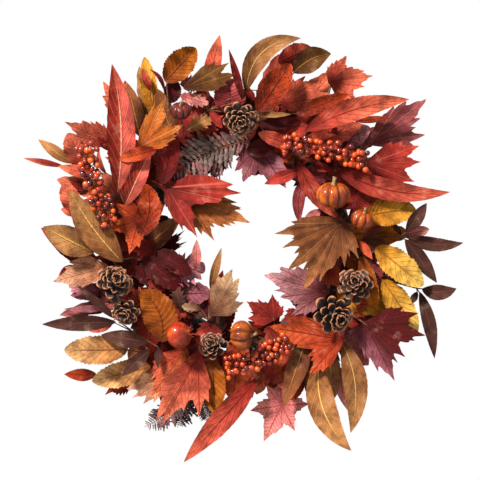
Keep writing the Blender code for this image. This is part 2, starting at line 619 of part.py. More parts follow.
def make_spray(name, finish, hub, turn, leaves, wreath):
    hub_point = on_layer(hub[2], hub[0], hub[1])
    makers = [lambda edit: leaf_mesh(edit, leaves[0])]
    for leaf in leaves[1:]:
        makers.append(lambda edit, leaf=leaf: leaf_mesh(edit, leaf))
    half = Vector((0.0, 0.5 * LEAF_THICKNESS, 0.0))
    for leaf in leaves:
        base = on_layer(leaf["layer"], *inner_point(leaf)) + half
        makers.append(stem(base, hub_point))
    foot = foot_of(hub_point, turn)
    beyond = (hub_point - foot).normalized() * STEM_RADIUS
    makers.append(stem(foot, hub_point + beyond, 1.25 * STEM_RADIUS))
    return joined(name, makers, finish, wreath)


def inner_point(leaf):
    """A point on the plan just inside the leaf's blade, where its stem takes hold."""
    base = Vector(leaf["base"])
    if leaf["form"] == "fan":
        reach = sum((Vector(tip) - base for tip in leaf["tips"]), Vector((0.0, 0.0)))
        return base + 0.05 * reach / len(leaf["tips"])
    return spine_point(leaf, 0.10)[0]


def turned(edit, profile, segments, ribs=0, rib_depth=0.0, rib_rows=()):
    """A closed round body about Z from (radius, height) pairs; ribs go round some rows."""
    rings = []
    for row, (radius, height) in enumerate(profile[1:-1]):
        depth = rib_depth if row in rib_rows else 0.0
        ring = []
        for k in range(segments):
            a = 2.0 * math.pi * k / segments
            r = radius * (1.0 - depth * (0.5 - 0.5 * math.cos(ribs * a)))
            ring.append(Vector((r * math.cos(a), r * math.sin(a), height)))
        rings.append(ring)
    add_rings(edit, rings, (Vector((0, 0, profile[0][1])), Vector((0, 0, profile[-1][1]))))


def make_cone(name, x, z, layer, radius, turn, wreath):
    """A pine cone seen from its top: stepped rows of scales about a line to the front, on a wire
    pick that is bound to the ring."""
    size = radius * PLAN_UNIT
    rows = [(0.0, -0.62), (0.45, -0.62), (0.98, -0.20), (1.00, -0.06), (0.76, 0.02), (0.84, 0.18),
            (0.82, 0.28), (0.56, 0.34), (0.62, 0.50), (0.58, 0.58), (0.30, 0.62), (0.26, 0.78),
            (0.0, 0.84)]
    seat = on_layer(layer, x, z)
    centre = seat - Vector((0.0, 0.62 * size, 0.0))

    def body(edit):
        turned(edit, [(r * size, h * size) for r, h in rows], CONE_SEGMENTS)
        bmesh.ops.rotate(edit, verts=edit.verts, matrix=Matrix.Rotation(math.pi / 2, 3, "X"))
        bmesh.ops.translate(edit, verts=edit.verts, vec=centre)

    foot = foot_of(seat, turn)
    return joined(name, [body, stem(foot, centre)], "cone", wreath)


def make_gourd(name, x, z, layer, radius, lean, forward, turn, wreath):
    """A small ribbed gourd with its stalk, leaning to the right by lean degrees and towards the
    viewer by forward degrees, on a wire pick that is bound to the ring."""
    size = radius * PLAN_UNIT
    rows = [(0.0, -0.72), (0.42, -0.76), (0.84, -0.50), (1.00, -0.02), (0.86, 0.46), (0.46, 0.70),
            (0.17, 0.62), (0.13, 1.02), (0.0, 1.04)]
    seat = on_layer(layer, x, z)
    centre = seat - Vector((0.0, size, 0.0))
    tilt = Matrix.Rotation(math.radians(lean), 3, "Y") @ Matrix.Rotation(math.radians(forward), 3, "X")

    def body(edit):
        turned(edit, [(r * size, h * size) for r, h in rows], 2 * GOURD_RIBS, GOURD_RIBS, 0.09,
               (1, 2, 3))
        bmesh.ops.rotate(edit, verts=edit.verts, matrix=tilt)
        bmesh.ops.translate(edit, verts=edit.verts, vec=centre)

    foot = foot_of(seat, turn)
    return joined(name, [body, stem(foot, centre)], "gourd", wreath)


def make_berries(name, layer, count, turn, points, wreath):
    """A berry spray: a stem through the plan points, and berries set round it on short twigs,
    each turned from the last by the golden angle."""
    line = [on_layer(layer, *point) for point in points]
    makers = [stem(a, b, BERRY_STEM) for a, b in zip(line, line[1:])]
    lengths = [(b - a).length for a, b in zip(line, line[1:])]
    for k in range(count):
        reach = sum(lengths) * (k + 0.5) / count
        run = 0
        while reach > lengths[run]:
            reach -= lengths[run]
            run += 1
        along = (line[run + 1] - line[run]).normalized()
        root = line[run] + along * reach
        side = along.cross(Vector((0.0, 1.0, 0.0))).normalized()
        angle = k * math.radians(137.5)
        out = BERRY_REACH * (0.72 + 0.28 * math.cos(2.7 * k))
        tip = root + out * (side * math.cos(angle) - Vector((0.0, 0.55, 0.0)) * (1.0 + math.sin(angle)))
        makers.append(stem(root, tip, 0.8 * STEM_RADIUS))
        makers.append(lambda edit, tip=tip: bmesh.ops.create_icosphere(
            edit, subdivisions=1, radius=BERRY_RADIUS, matrix=Matrix.Translation(tip)))
    middle = line[len(line) // 2]
    makers.append(stem(foot_of(middle, turn), middle - Vector((0.0, BERRY_STEM, 0.0)), BERRY_STEM))
    return joined(name, makers, "berry", wreath)


def make_ring(wreath):
    """The foam ring, wrapped all round in dark moss ribbon."""
    return new_object("wrapped_ring", lambda edit: add_torus(
        edit, Vector((0, 0, 0)), Vector((0, 1, 0)), RING_RADIUS, RING_TUBE, RING_SEGMENTS,
        TUBE_SEGMENTS), "ring_wrap", wreath)


def make_band(wreath):
    """A wire tied round the ring at its top, twisted into an eye behind it."""
    top = Vector((0.0, 0.0, RING_RADIUS))
    eye = Vector((0.0, EYE_OUT, RING_RADIUS))

    def band(edit):
        add_torus(edit, top, Vector((1, 0, 0)), BAND_RADIUS, WIRE_RADIUS, BAND_SEGMENTS,
                  WIRE_SIDES)

    def eye_ring(edit):
        add_torus(edit, eye, Vector((1, 0, 0)), EYE_RADIUS, WIRE_RADIUS, EYE_SEGMENTS,
                  WIRE_SIDES)

    return joined("band_wire_with_eye", [band, eye_ring], "wire", wreath)


def make_loop():
    """The hanging loop: a closed wire bow whose straight bar turns in the band's eye."""
    half, bend = 0.5 * LOOP_WIDTH, LOOP_BEND
    corners = [(-half, 0.0), (half, 0.0), (half * 0.7, LOOP_DROP), (-half * 0.7, LOOP_DROP)]
    points = []
    for k, corner in enumerate(corners):
        here = Vector((corner[0], 0.0, corner[1]))
        before = Vector((corners[k - 1][0], 0.0, corners[k - 1][1]))
        after = Vector((corners[(k + 1) % 4][0], 0.0, corners[(k + 1) % 4][1]))
        start = here + (before - here).normalized() * bend
        end = here + (after - here).normalized() * bend
        for share in (0.0, 0.35, 0.65, 1.0):
            points.append(start.lerp(here, share).lerp(here.lerp(end, share), share))
    return new_object("hanging_loop", tube_mesh(points, WIRE_RADIUS, WIRE_SIDES), "wire", None,
                      (0.0, 0.0, -LOOP_DROP))


# ---- the wreath

def main():
    for thing in list(bpy.data.objects):
        bpy.data.objects.remove(thing)
    for name, (colour, roughness, metallic) in FINISHES.items():
        finish = bpy.data.materials.new(name)
        finish.use_nodes = True
        shader = finish.node_tree.nodes["Principled BSDF"]
        shader.inputs["Base Color"].default_value = (*colour, 1.0)
        shader.inputs["Roughness"].default_value = roughness
        shader.inputs["Metallic"].default_value = metallic
        finish.diffuse_color = (*colour, 1.0)
    wreath = bpy.data.objects.new("wreath_centre", None)
    wreath.location = RING_CENTRE
    bpy.context.scene.collection.objects.link(wreath)
    round_pieces = [make_ring(wreath), make_band(wreath), make_loop()]
    for name, (finish, hub, turn, leaves) in SPRAYS.items():
        make_spray(name, finish, hub, turn, leaves, wreath)
    for name, row in CONES.items():
        make_cone(name, *row, wreath)
    for name, row in GOURDS.items():
        round_pieces.append(make_gourd(name, *row, wreath))
    for name, row in BERRIES.items():
        round_pieces.append(make_berries(name, *row, wreath))
    for thing in round_pieces:
        thing.data.shade_smooth()
        thing.data.set_sharp_from_angle(angle=math.radians(40.0))


main()
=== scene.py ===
import math

import bmesh
import bpy
import numpy as np
from mathutils import Matrix, Vector


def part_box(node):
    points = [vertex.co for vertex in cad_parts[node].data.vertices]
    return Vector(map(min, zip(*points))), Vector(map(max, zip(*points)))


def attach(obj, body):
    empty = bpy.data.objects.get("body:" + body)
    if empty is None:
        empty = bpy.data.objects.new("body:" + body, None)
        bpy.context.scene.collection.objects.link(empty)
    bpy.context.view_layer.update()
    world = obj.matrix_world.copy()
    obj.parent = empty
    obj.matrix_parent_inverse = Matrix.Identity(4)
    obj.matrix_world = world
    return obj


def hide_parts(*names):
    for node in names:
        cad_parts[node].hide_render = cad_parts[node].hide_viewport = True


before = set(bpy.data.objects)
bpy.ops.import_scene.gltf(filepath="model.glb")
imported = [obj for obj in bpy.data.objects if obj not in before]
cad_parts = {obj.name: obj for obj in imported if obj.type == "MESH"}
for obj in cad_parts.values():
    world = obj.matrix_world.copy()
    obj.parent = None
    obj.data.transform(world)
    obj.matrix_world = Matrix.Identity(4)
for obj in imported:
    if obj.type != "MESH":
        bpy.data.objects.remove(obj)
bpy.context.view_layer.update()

# ---- sizes, in metres, and the planting plan's own unit, worked out from the frame
ring_low, ring_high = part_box("wrapped_ring")
RING_CENTRE = (ring_low + ring_high) / 2
RING_TUBE = (ring_high.y - ring_low.y) / 2
RING_RADIUS = (ring_high.x - ring_low.x) / 2 - RING_TUBE
PLAN_UNIT = 0.01
PLAN_RADIUS = 0.140
LAYER_PITCH = 0.0062
LAYER_SPREAD = 0.0075
LEVEL_LAYER = 3.0
SPREAD_SPAN = 0.14
SPREAD_POWER = 1.4
LEAF_THICKNESS = 0.0005
STEM_RADIUS = 0.0011
PICK_THICKNESS = 1.2
GAP = 0.0003
GOLDEN_ANGLE = math.radians(137.5)
TURN = 2.0 * math.pi
RIM_ANGLE = math.radians(50.0)


# ---- node maths

class Value:
    """A node socket that takes part in Python arithmetic."""

    def __init__(self, tree, socket):
        self.tree, self.socket = tree, socket

    def math(self, operation, *others):
        return self.tree.node("ShaderNodeMath", {"operation": operation},
                              dict(enumerate((self,) + others)))

    def __add__(self, other):
        return self.math("ADD", other)

    __radd__ = __add__

    def __mul__(self, other):
        return self.math("MULTIPLY", other)

    __rmul__ = __mul__

    def __sub__(self, other):
        return self.math("SUBTRACT", other)

    def __rsub__(self, other):
        return (self * -1.0) + other

    def __truediv__(self, other):
        return self.math("DIVIDE", other)

    def __pow__(self, other):
        return self.math("POWER", other)

    def __abs__(self):
        return self.math("ABSOLUTE")

    def __mod__(self, other):
        return self.math("FLOORED_MODULO", other)

    def sine(self):
        return self.math("SINE")

    def cosine(self):
        return self.math("COSINE")

    def ramp(self, low, high, start=0.0, end=1.0):
        """This value, smoothly remapped from low..high to start..end and held there."""
        return self.tree.node("ShaderNodeMapRange", {"interpolation_type": "SMOOTHSTEP"},
                              {0: self, 1: low, 2: high, 3: start, 4: end})


class Nodes:
    """A node tree that is written as expressions."""

    def __init__(self, tree):
        self.tree = tree

    def node(self, kind, settings=None, inputs=None, output=0):
        made = self.tree.nodes.new(kind)
        for name, setting in (settings or {}).items():
            if name == "stops":
                fill_ramp(made.color_ramp, setting)
            else:
                setattr(made, name, setting)
        for name, given in (inputs or {}).items():
            if isinstance(given, Value):
                self.tree.links.new(given.socket, made.inputs[name])
            elif given is not None:
                made.inputs[name].default_value = given
        return Value(self, made.outputs[output])

    def mix(self, factor, a, b):
        """Colour a turned into colour b by a factor."""
        return self.node("ShaderNodeMix", {"data_type": "RGBA"}, {0: factor, 6: a, 7: b}, 2)

    def noise(self, where, scale, detail=3.0, roughness=0.55):
        return self.node("ShaderNodeTexNoise", None, {
            "Vector": where, "Scale": scale, "Detail": detail, "Roughness": roughness})

    def attribute(self, name, output="Color"):
        return self.node("ShaderNodeAttribute", {"attribute_name": name}, None, output)

    def parts(self, vector):
        made = self.node("ShaderNodeSeparateXYZ", None, {0: vector})
        outputs = made.socket.node.outputs
        return [Value(self, outputs[k]) for k in range(3)]

    def join(self, x, y, z):
        return self.node("ShaderNodeCombineXYZ", None, {0: x, 1: y, 2: z})

    def vector(self, operation, *values, output=0):
        return self.node("ShaderNodeVectorMath", {"operation": operation},
                         dict(enumerate(values)), output)

    def scaled(self, vector, factor):
        return self.node("ShaderNodeVectorMath", {"operation": "SCALE"},
                         {0: vector, "Scale": factor})


def fill_ramp(ramp, stops):
    while len(ramp.elements) < len(stops):
        ramp.elements.new(1.0)
    for element, (place, colour) in zip(ramp.elements, stops):
        element.position = place
        element.color = colour


# How much of a colour's display brightness is the dye itself; the rest is the key light
DYE_DEPTH = 0.50
DYE_PURITY = 1.05
DYE_FLOOR = 0.002


def dye(red, green, blue):
    """A colour from its display values, 0 to 255, as the linear values that shaders take."""
    def linear(value):
        value /= 255.0
        return value / 12.92 if value < 0.04045 else ((value + 0.055) / 1.055) ** 2.4
    colour = [DYE_DEPTH * linear(value) for value in (red, green, blue)]
    grey = sum(colour) / 3.0
    return (*(max(DYE_FLOOR, grey + (value - grey) * DYE_PURITY) for value in colour), 1.0)


def finish(name, roughness=0.8, metallic=0.0, coat=0.0, sheen=0.0, specular=0.3):
    """A new Principled material, its tree, its shader and each point's place on the wreath."""
    material = bpy.data.materials.new(name)
    material.use_nodes = True
    shader = material.node_tree.nodes["Principled BSDF"]
    shader.inputs["Roughness"].default_value = roughness
    shader.inputs["Metallic"].default_value = metallic
    shader.inputs["Coat Weight"].default_value = coat
    shader.inputs["Coat Roughness"].default_value = 0.12
    shader.inputs["Sheen Weight"].default_value = sheen
    shader.inputs["Sheen Roughness"].default_value = 0.6
    shader.inputs["Specular IOR Level"].default_value = specular
    tree = Nodes(material.node_tree)
    return material, tree, shader, tree.node("ShaderNodeTexCoord", output="Object")


def wire_up(tree, shader, colour, roughness=None, height=None, depth=None):
    """Links what varies over a surface to its shader: colour, roughness and relief."""
    tree.tree.links.new(colour.socket, shader.inputs["Base Color"])
    if roughness:
        tree.tree.links.new(roughness.socket, shader.inputs["Roughness"])
    if height:
        bump = tree.node("ShaderNodeBump", None, {"Strength": 1.0, "Distance": depth,
                                                  "Height": height})
        tree.tree.links.new(bump.socket, shader.inputs["Normal"])


# ---- materials

# How far towards the tip a side vein climbs from midrib to rim, in side veins
VEIN_CLIMB = 2.1
# Linear colours that the leaves' and gourds' own dyes are mixed with; the leaves' dark colour serves
# both real scorch marks and painted shade at the base, and GROOVE_SHADE is painted shade in the gourds'
# grooves
SCORCH_AND_SHADE = (0.022, 0.004, 0.003, 1.0)
FADED = (1.0, 0.72, 0.50, 1.0)
SPECK = (0.020, 0.008, 0.005, 1.0)
GROOVE_SHADE = (0.02, 0.004, 0.002, 1.0)
BLACK = (0.0, 0.0, 0.0, 1.0)


def leaf_cloth(name, spots=0.0, ribs=0.0, side_veins=9.0):
    """Printed polyester leaf: its dye comes from the leaf's own tones, with printed veins,
    blotches where the dye ran, a scorched rim, painted shade towards its base and a fine weave."""
    material, tree, shader, where = finish(name, 0.78, specular=0.06)
    along, across, _ = tree.parts(tree.node("ShaderNodeUVMap", {"uv_map": "UVMap"}))
    across = across * 2.0 - 1.0
    side = abs(across)
    tone = tree.attribute("tone")
    vein_tone = tree.attribute("vein_tone")
    blotch = tree.noise(where, 55.0, 4.0, 0.62)
    fine = tree.noise(where, 420.0, 3.0, 0.6)
    midrib = side.ramp(0.02, 0.075, 1.0, 0.0) * along.ramp(0.55, 1.0, 1.0, 0.1)
    wobble = (blotch - 0.5) * 0.10
    branch = (along * side_veins - side * VEIN_CLIMB + wobble * 3.0) % 1.0
    branch = abs(branch - 0.5).ramp(0.02, 0.13, 1.0, 0.0)
    branch = branch * side.ramp(0.75, 1.0, 1.0, 0.0)
    net = tree.node("ShaderNodeTexVoronoi", {"feature": "DISTANCE_TO_EDGE"},
                    {"Vector": where, "Scale": 520.0}).ramp(0.0, 0.10, 1.0, 0.0)
    rim = side.ramp(0.62, 1.05) * blotch.ramp(0.35, 0.65)
    dark = tree.mix(0.66, tone, SCORCH_AND_SHADE)
    pale = tree.mix(0.34, tone, FADED)
    colour = tree.mix(blotch.ramp(0.42, 0.66) * 0.85, tone, dark)
    # Painted shade: darker towards the leaf's base, where it lies under other leaves
    colour = tree.mix(along.ramp(0.0, 0.30, 0.55, 0.0), colour, dark)
    colour = tree.mix(blotch.ramp(0.46, 0.28) * 0.16, colour, pale)
    colour = tree.mix(rim * 0.65, colour, dark)
    colour = tree.mix(net * 0.26, colour, dark)
    colour = tree.mix(branch * 0.42, colour, tree.mix(0.55, vein_tone, dark))
    colour = tree.mix(midrib * 0.80, colour, vein_tone)
    if spots:
        speck = tree.node("ShaderNodeTexVoronoi", None, {"Vector": where, "Scale": 230.0})
        speck = speck.ramp(0.22, 0.40, 1.0, 0.0) * blotch.ramp(0.25, 0.50)
        colour = tree.mix(speck * spots, colour, SPECK)
    colour = tree.mix(fine * 0.30, colour, tree.mix(0.5, colour, BLACK))
    crease = abs((along * side_veins - side * VEIN_CLIMB) % 1.0 - 0.5) * 2.0
    height = midrib * 0.9 + branch * 0.45 + net * 0.10 + fine * 0.20 + crease * ribs
    wire_up(tree, shader, colour, roughness=0.66 + fine * 0.20, height=height + blotch * 1.4,
            depth=0.0011)
    return material


def stem_bark():
    """Florist's stem: wire wound in brown paper tape."""
    material, tree, shader, where = finish("stem_bark", 0.85)
    grain = tree.noise(where, 260.0, 4.0, 0.7)
    colour = tree.mix(grain.ramp(0.35, 0.65), dye(70, 38, 24), dye(128, 78, 48))
    wire_up(tree, shader, colour, roughness=0.75 + grain * 0.2, height=grain, depth=0.0006)
    return material


def cone_scale():
    """Dried pine scale: dark inside, pale and weathered at its lip."""
    material, tree, shader, where = finish("cone_scale", 0.75, specular=0.35)
    lip = tree.attribute("lip", "Fac")
    grain = tree.noise(where, 300.0, 4.0, 0.65)
    colour = tree.node("ShaderNodeValToRGB", {"stops": [
        (0.0, dye(38, 18, 11)), (0.30, dye(66, 34, 21)), (0.60, dye(112, 64, 40)),
        (0.88, dye(190, 130, 90)), (1.0, dye(168, 112, 76))]}, {0: lip + (grain - 0.5) * 0.30})
    colour = tree.mix(grain.ramp(0.5, 0.8) * 0.5, colour, dye(52, 28, 18))
    wire_up(tree, shader, colour, roughness=0.60 + grain * 0.3, height=grain + lip * 0.3,
            depth=0.0008)
    return material


def gourd_skin(name, light, deep, blush):
    """Lacquered gourd skin: mottled, darker in its grooves with painted shade, under a soft gloss."""
    material, tree, shader, where = finish(name, 0.32, coat=0.26, specular=0.12)
    groove = tree.attribute("tone", "Fac")
    mottle = tree.noise(where, 70.0, 5.0, 0.65)
    specks = tree.noise(where, 520.0, 2.0, 0.6)
    colour = tree.mix(mottle.ramp(0.36, 0.62), light, deep)
    colour = tree.mix(tree.noise(where, 22.0, 2.0).ramp(0.48, 0.66) * 0.8, colour, blush)
    # Painted shade: the grooves darken towards GROOVE_SHADE
    colour = tree.mix(groove * 0.85, colour, tree.mix(0.7, deep, GROOVE_SHADE))
    colour = tree.mix(specks.ramp(0.62, 0.72) * 0.40, colour, dye(226, 168, 92))
    colour = tree.mix(specks.ramp(0.36, 0.28) * 0.55, colour, dye(70, 22, 10))
    wire_up(tree, shader, colour, roughness=0.30 + mottle * 0.30,
            height=mottle * 0.5 + specks * 0.35, depth=0.0007)
    return material


def gourd_stalk():
    """Dry stalk: pale, ridged lengthwise, darker where it meets the gourd."""
    material, tree, shader, where = finish("gourd_stalk", 0.85)
    grain = tree.noise(where, 380.0, 4.0, 0.7)
    colour = tree.mix(grain.ramp(0.35, 0.7), dye(96, 66, 40), dye(190, 152, 104))
    wire_up(tree, shader, colour, roughness=0.7 + grain * 0.2, height=grain, depth=0.0008)
    return material


def berry_skin():
    """Waxed berry: orange to dark red by its ripeness, with a dry brown eye."""
    material, tree, shader, where = finish("berry_skin", 0.30, coat=0.45, specular=0.14)
    ripe = tree.attribute("ripe", "Fac")
    eye = tree.attribute("eye", "Fac")
    mottle = tree.noise(where, 240.0, 3.0, 0.6)
    colour = tree.node("ShaderNodeValToRGB", {"stops": [
        (0.0, dye(222, 104, 34)), (0.35, dye(196, 70, 22)), (0.70, dye(142, 40, 18)),
        (1.0, dye(88, 22, 12))]}, {0: ripe + 0.12 + (mottle - 0.5) * 0.45})
    colour = tree.mix(eye.ramp(0.80, 0.94), colour, dye(50, 20, 12))
    wire_up(tree, shader, colour, roughness=0.26 + mottle * 0.2,
            height=mottle * 0.4 - eye.ramp(0.85, 0.97), depth=0.0005)
    return material


def moss_wrap():
    """The ring's wrapping: dark, matted moss ribbon with dry brown threads."""
    material, tree, shader, where = finish("moss_wrap", 0.95, sheen=0.2, specular=0.1)
    clumps = tree.noise(where, 120.0, 5.0, 0.7)
    threads = tree.noise(tree.vector("MULTIPLY", where, (900.0, 240.0, 900.0)), 1.0, 3.0, 0.6)
    colour = tree.node("ShaderNodeValToRGB", {"stops": [
        (0.0, dye(16, 12, 10)), (0.5, dye(38, 28, 21)), (0.8, dye(74, 54, 36)),
        (1.0, dye(104, 78, 50))]}, {0: clumps * 0.6 + threads * 0.45})
    wire_up(tree, shader, colour, roughness=0.85 + clumps * 0.1, height=clumps + threads * 0.5,
            depth=0.0016)
    return material


def fern_cloth(name, deep, pale, rose):
    """Pressed fern, blushed in patches and darker towards its tips."""
    material, tree, shader, where = finish(name, 0.8, specular=0.14)
    along = tree.attribute("lip", "Fac")
    mottle = tree.noise(where, 160.0, 4.0, 0.65)
    blush = tree.noise(where, 26.0, 2.0)
    colour = tree.mix(mottle.ramp(0.35, 0.68), deep, pale)
    colour = tree.mix(blush.ramp(0.48, 0.62) * 0.7, colour, rose)
    colour = tree.mix(along.ramp(0.55, 1.0) * 0.35, colour, dye(48, 30, 26))
    wire_up(tree, shader, colour, roughness=0.7 + mottle * 0.2, height=mottle, depth=0.0006)
    return material


def annealed_wire():
    """Dark annealed wire with rubbed bright patches."""
    material, tree, shader, where = finish("annealed_wire", 0.45, metallic=1.0)
    rub = tree.noise(where, 240.0, 4.0, 0.7)
    colour = tree.mix(rub.ramp(0.45, 0.7), dye(58, 54, 50), dye(136, 130, 122))
    wire_up(tree, shader, colour, roughness=0.34 + rub * 0.3, height=rub, depth=0.0003)
    return material


LEAF_CLOTHS = {
    "plain": leaf_cloth("leaf_cloth"),
    "spotted": leaf_cloth("spotted_leaf_cloth", spots=0.85, side_veins=7.0),
    "ribbed": leaf_cloth("ribbed_leaf_cloth", ribs=0.9, side_veins=11.0),
}
STEM = stem_bark()
CONE = cone_scale()
STALK = gourd_stalk()
BERRY = berry_skin()
MOSS = moss_wrap()
FERN = fern_cloth("fern_cloth", dye(72, 55, 50), dye(132, 108, 100), dye(138, 84, 86))
DARK_FERN = fern_cloth("dark_fern_cloth", dye(66, 44, 44), dye(128, 98, 96), dye(112, 66, 70))
WIRE = annealed_wire()

# ---- leaf tones: colour at the base, colour at the tip, veins, and the right half's colour if it differs
# The darker base colours are partly the leaves' own colour and partly painted shade where bases lie
# under other leaves
TONES = {
    # Painted light and shade: this tone's right half is lighter and its left half darker, as on a
    # rolled leaf
    "brick_salmon": ((132, 30, 22), (160, 48, 34), (232, 176, 140), (206, 88, 76)),
    "brick": ((112, 22, 18), (178, 52, 36), (96, 22, 18)),
    "dark_red": ((88, 14, 16), (138, 30, 28), (70, 12, 14)),
    "maroon": ((52, 6, 10), (92, 16, 22), (120, 30, 34)),
    "crimson": ((122, 26, 26), (196, 66, 54), (206, 100, 80)),
    "red_salmon": ((138, 24, 22), (222, 104, 80), (112, 22, 20)),
    "salmon": ((150, 44, 32), (232, 122, 92), (150, 44, 36)),
    "salmon_orange": ((194, 62, 52), (232, 122, 88), (150, 40, 34)),
    "bright_salmon": ((206, 66, 42), (240, 112, 78), (240, 160, 110)),
    "pink": ((206, 108, 106), (232, 154, 142), (186, 58, 54)),
    "orange": ((214, 92, 34), (246, 148, 74), (250, 186, 110)),
    "orange_red": ((150, 44, 24), (214, 96, 56), (120, 30, 18)),
    "rust": ((122, 36, 12), (184, 66, 20), (78, 22, 10)),
    "tan": ((138, 82, 44), (196, 136, 86), (240, 190, 112)),
    "tan_olive": ((158, 100, 60), (208, 152, 96), (240, 190, 100)),
    "tan_maple": ((104, 52, 28), (196, 124, 76), (190, 134, 88)),
    "tan_shadow": ((120, 54, 26), (192, 118, 66), (96, 46, 26)),
    "brown": ((84, 42, 26), (142, 82, 50), (186, 130, 74)),
    "dark_brown": ((58, 34, 28), (96, 60, 52), (130, 82, 60)),
    "olive_brown": ((76, 42, 24), (132, 86, 42), (176, 128, 50)),
    "gold": ((196, 116, 30), (236, 172, 70), (150, 84, 30)),
    "yellow": ((214, 140, 40), (246, 204, 106), (168, 96, 40)),
    "straw": ((200, 124, 66), (244, 190, 130), (150, 80, 40)),
    # Painted shade: this tone's right half is a darker orange-brown
    "salmon_rust": ((176, 60, 40), (238, 118, 88), (112, 26, 20), (170, 84, 36)),
    "wine": ((84, 16, 22), (206, 130, 142), (96, 24, 32), (88, 14, 18)),
    "gold_brown": ((148, 70, 12), (196, 110, 26), (110, 50, 12)),
    "gold_rim": ((150, 74, 10), (178, 92, 14), (104, 44, 8)),
    "peach": ((214, 132, 92), (238, 182, 148), (206, 96, 66)),
    "mauve": ((130, 60, 68), (206, 136, 142), (128, 48, 58)),
    "dusty_rose": ((128, 48, 50), (180, 96, 96), (206, 128, 120)),
    "dusty_red": ((128, 34, 40), (186, 84, 86), (92, 28, 34)),
    "faded_mauve": ((116, 34, 42), (226, 162, 164), (104, 32, 42)),
    "deep_mauve": ((70, 12, 18), (182, 108, 118), (96, 26, 34)),
    "beige": ((120, 66, 46), (214, 172, 132), (160, 110, 76)),
}


# ---- places on the plan

def planted(x, z):
    """Plan points, in centimetres from the ring's centre, moved out with the ring."""
    x, z = np.asarray(x, float) * PLAN_UNIT, np.asarray(z, float) * PLAN_UNIT
    away = np.maximum(np.hypot(x, z), PLAN_UNIT)
    carried = 1.0 + (RING_RADIUS - PLAN_RADIUS) / away
    return x * carried, z * carried


def shell_depth(layer, x, z):
    """How far in front of the ring's centre a layer lies: layers spread like petals."""
    away = np.abs(np.hypot(x, z) - RING_RADIUS) / SPREAD_SPAN
    return RING_TUBE + LAYER_PITCH * layer + LAYER_SPREAD * (layer - LEVEL_LAYER) * away ** SPREAD_POWER


def on_layer(layer, x, z, forward=0.0):
    x, z = planted(x, z)
    depth = shell_depth(layer, x, z) + forward
    return Vector((float(x), -float(depth), float(z))) + RING_CENTRE


# ---- a mesh that is put together from patches and tubes

class Patchwork:
    """Collects points, faces and their finishes, and becomes one object."""

    def __init__(self):
        self.points, self.faces, self.slots = [], [], []
        self.uv, self.tone, self.vein = [], [], []
        self.materials = []
        self.count = 0

    def slot(self, material):
        if material not in self.materials:
            self.materials.append(material)
        return self.materials.index(material)

    def add(self, points, faces, material, uv=None, tone=None, vein=None):
        points = np.asarray(points, float).reshape(-1, 3)
        number = len(points)
        self.points.append(points)
        self.faces += [tuple(self.count + i for i in face) for face in faces]
        self.slots += [self.slot(material)] * len(faces)
        self.uv.append(np.zeros((number, 2)) if uv is None else uv)
        self.tone.append(np.ones((number, 4)) if tone is None else tone)
        self.vein.append(np.ones((number, 4)) if vein is None else vein)
        self.count += number

    def tube(self, path, radii, material, sides=7):
        """A closed tube along a path, with a radius for each of its points."""
        path = [Vector(point) for point in path]
        along = (path[-1] - path[0]).normalized()
        normal = along.orthogonal().normalized()
        points, faces = [], []
        for k, (point, radius) in enumerate(zip(path, map(float, radii))):
            along = (path[min(k + 1, len(path) - 1)] - path[max(k - 1, 0)]).normalized()
            normal = (normal - along * normal.dot(along)).normalized()
            other = along.cross(normal)
            for s in range(sides):
                angle = TURN * s / sides
                points.append(point + radius * (normal * math.cos(angle) + other * math.sin(angle)))
        for k in range(len(path) - 1):
            for s in range(sides):
                a, b = k * sides + s, k * sides + (s + 1) % sides
                faces.append((a, b, b + sides, a + sides))
        faces.append(tuple(reversed(range(sides))))
        faces.append(tuple(range((len(path) - 1) * sides, len(path) * sides)))
        self.add(points, faces, material)

    def made(self, name):
        mesh = bpy.data.meshes.new(name)
        mesh.from_pydata(np.concatenate(self.points).tolist(), [], self.faces)
        for material in self.materials:
            mesh.materials.append(material)
        mesh.polygons.foreach_set("material_index", self.slots)
        mesh.polygons.foreach_set("use_smooth", [True] * len(self.faces))
        corner_points = np.empty(len(mesh.loops), np.int32)
        mesh.loops.foreach_get("vertex_index", corner_points)
        layer = mesh.uv_layers.new(name="UVMap")
        layer.data.foreach_set("uv", np.concatenate(self.uv)[corner_points].ravel())
        for label, values in (("tone", self.tone), ("vein_tone", self.vein)):
            colours = mesh.color_attributes.new(label, "FLOAT_COLOR", "POINT")
            colours.data.foreach_set("color", np.concatenate(values).astype(np.float32).ravel())
        mesh.update()
        mesh.set_sharp_from_angle(angle=RIM_ANGLE)
        piece = bpy.data.objects.new(name, mesh)
        bpy.context.scene.collection.objects.link(piece)
        outward(piece)
        return piece


def outward(piece):
    """Turns every face of a closed mesh to point out of it."""
    edit = bmesh.new()
    edit.from_mesh(piece.data)
    bmesh.ops.recalc_face_normals(edit, faces=edit.faces)
    edit.to_mesh(piece.data)
    edit.free()


def seated(piece, body, slot, *nodes):
    """Puts a finished piece on its body, in place of its CAD nodes."""
    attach(piece, body)
    if nodes:
        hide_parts(*nodes)
    return piece


# ---- leaves

def lance(layer, base, tip, width, bow=0.0, form="lance", **more):
    return dict(form=form, layer=layer, base=base, tip=tip, width=width, bow=bow, **more)


def oval(*place, **more):
    return lance(*place, form="oval", **more)


def fan(layer, base, tips, lobe=0.20, web=0.42, tone="crimson", **more):
    return dict(form="fan", layer=layer, base=base, tips=tips, lobe=lobe, web=web, tone=tone,
                **more)


def skin_pair(front, grid_faces, rim):
    """Front points, the same points a leaf's thickness behind them, and the faces of the
    closed leaf between them."""
    number = len(front)
    back = front + np.array([0.0, LEAF_THICKNESS, 0.0])
    faces = list(grid_faces)
    faces += [tuple(number + i for i in reversed(face)) for face in grid_faces]
    faces += [(i, number + i, number + j, j) for i, j in zip(rim, rim[1:] + rim[:1])]
    return np.concatenate([front, back]), faces


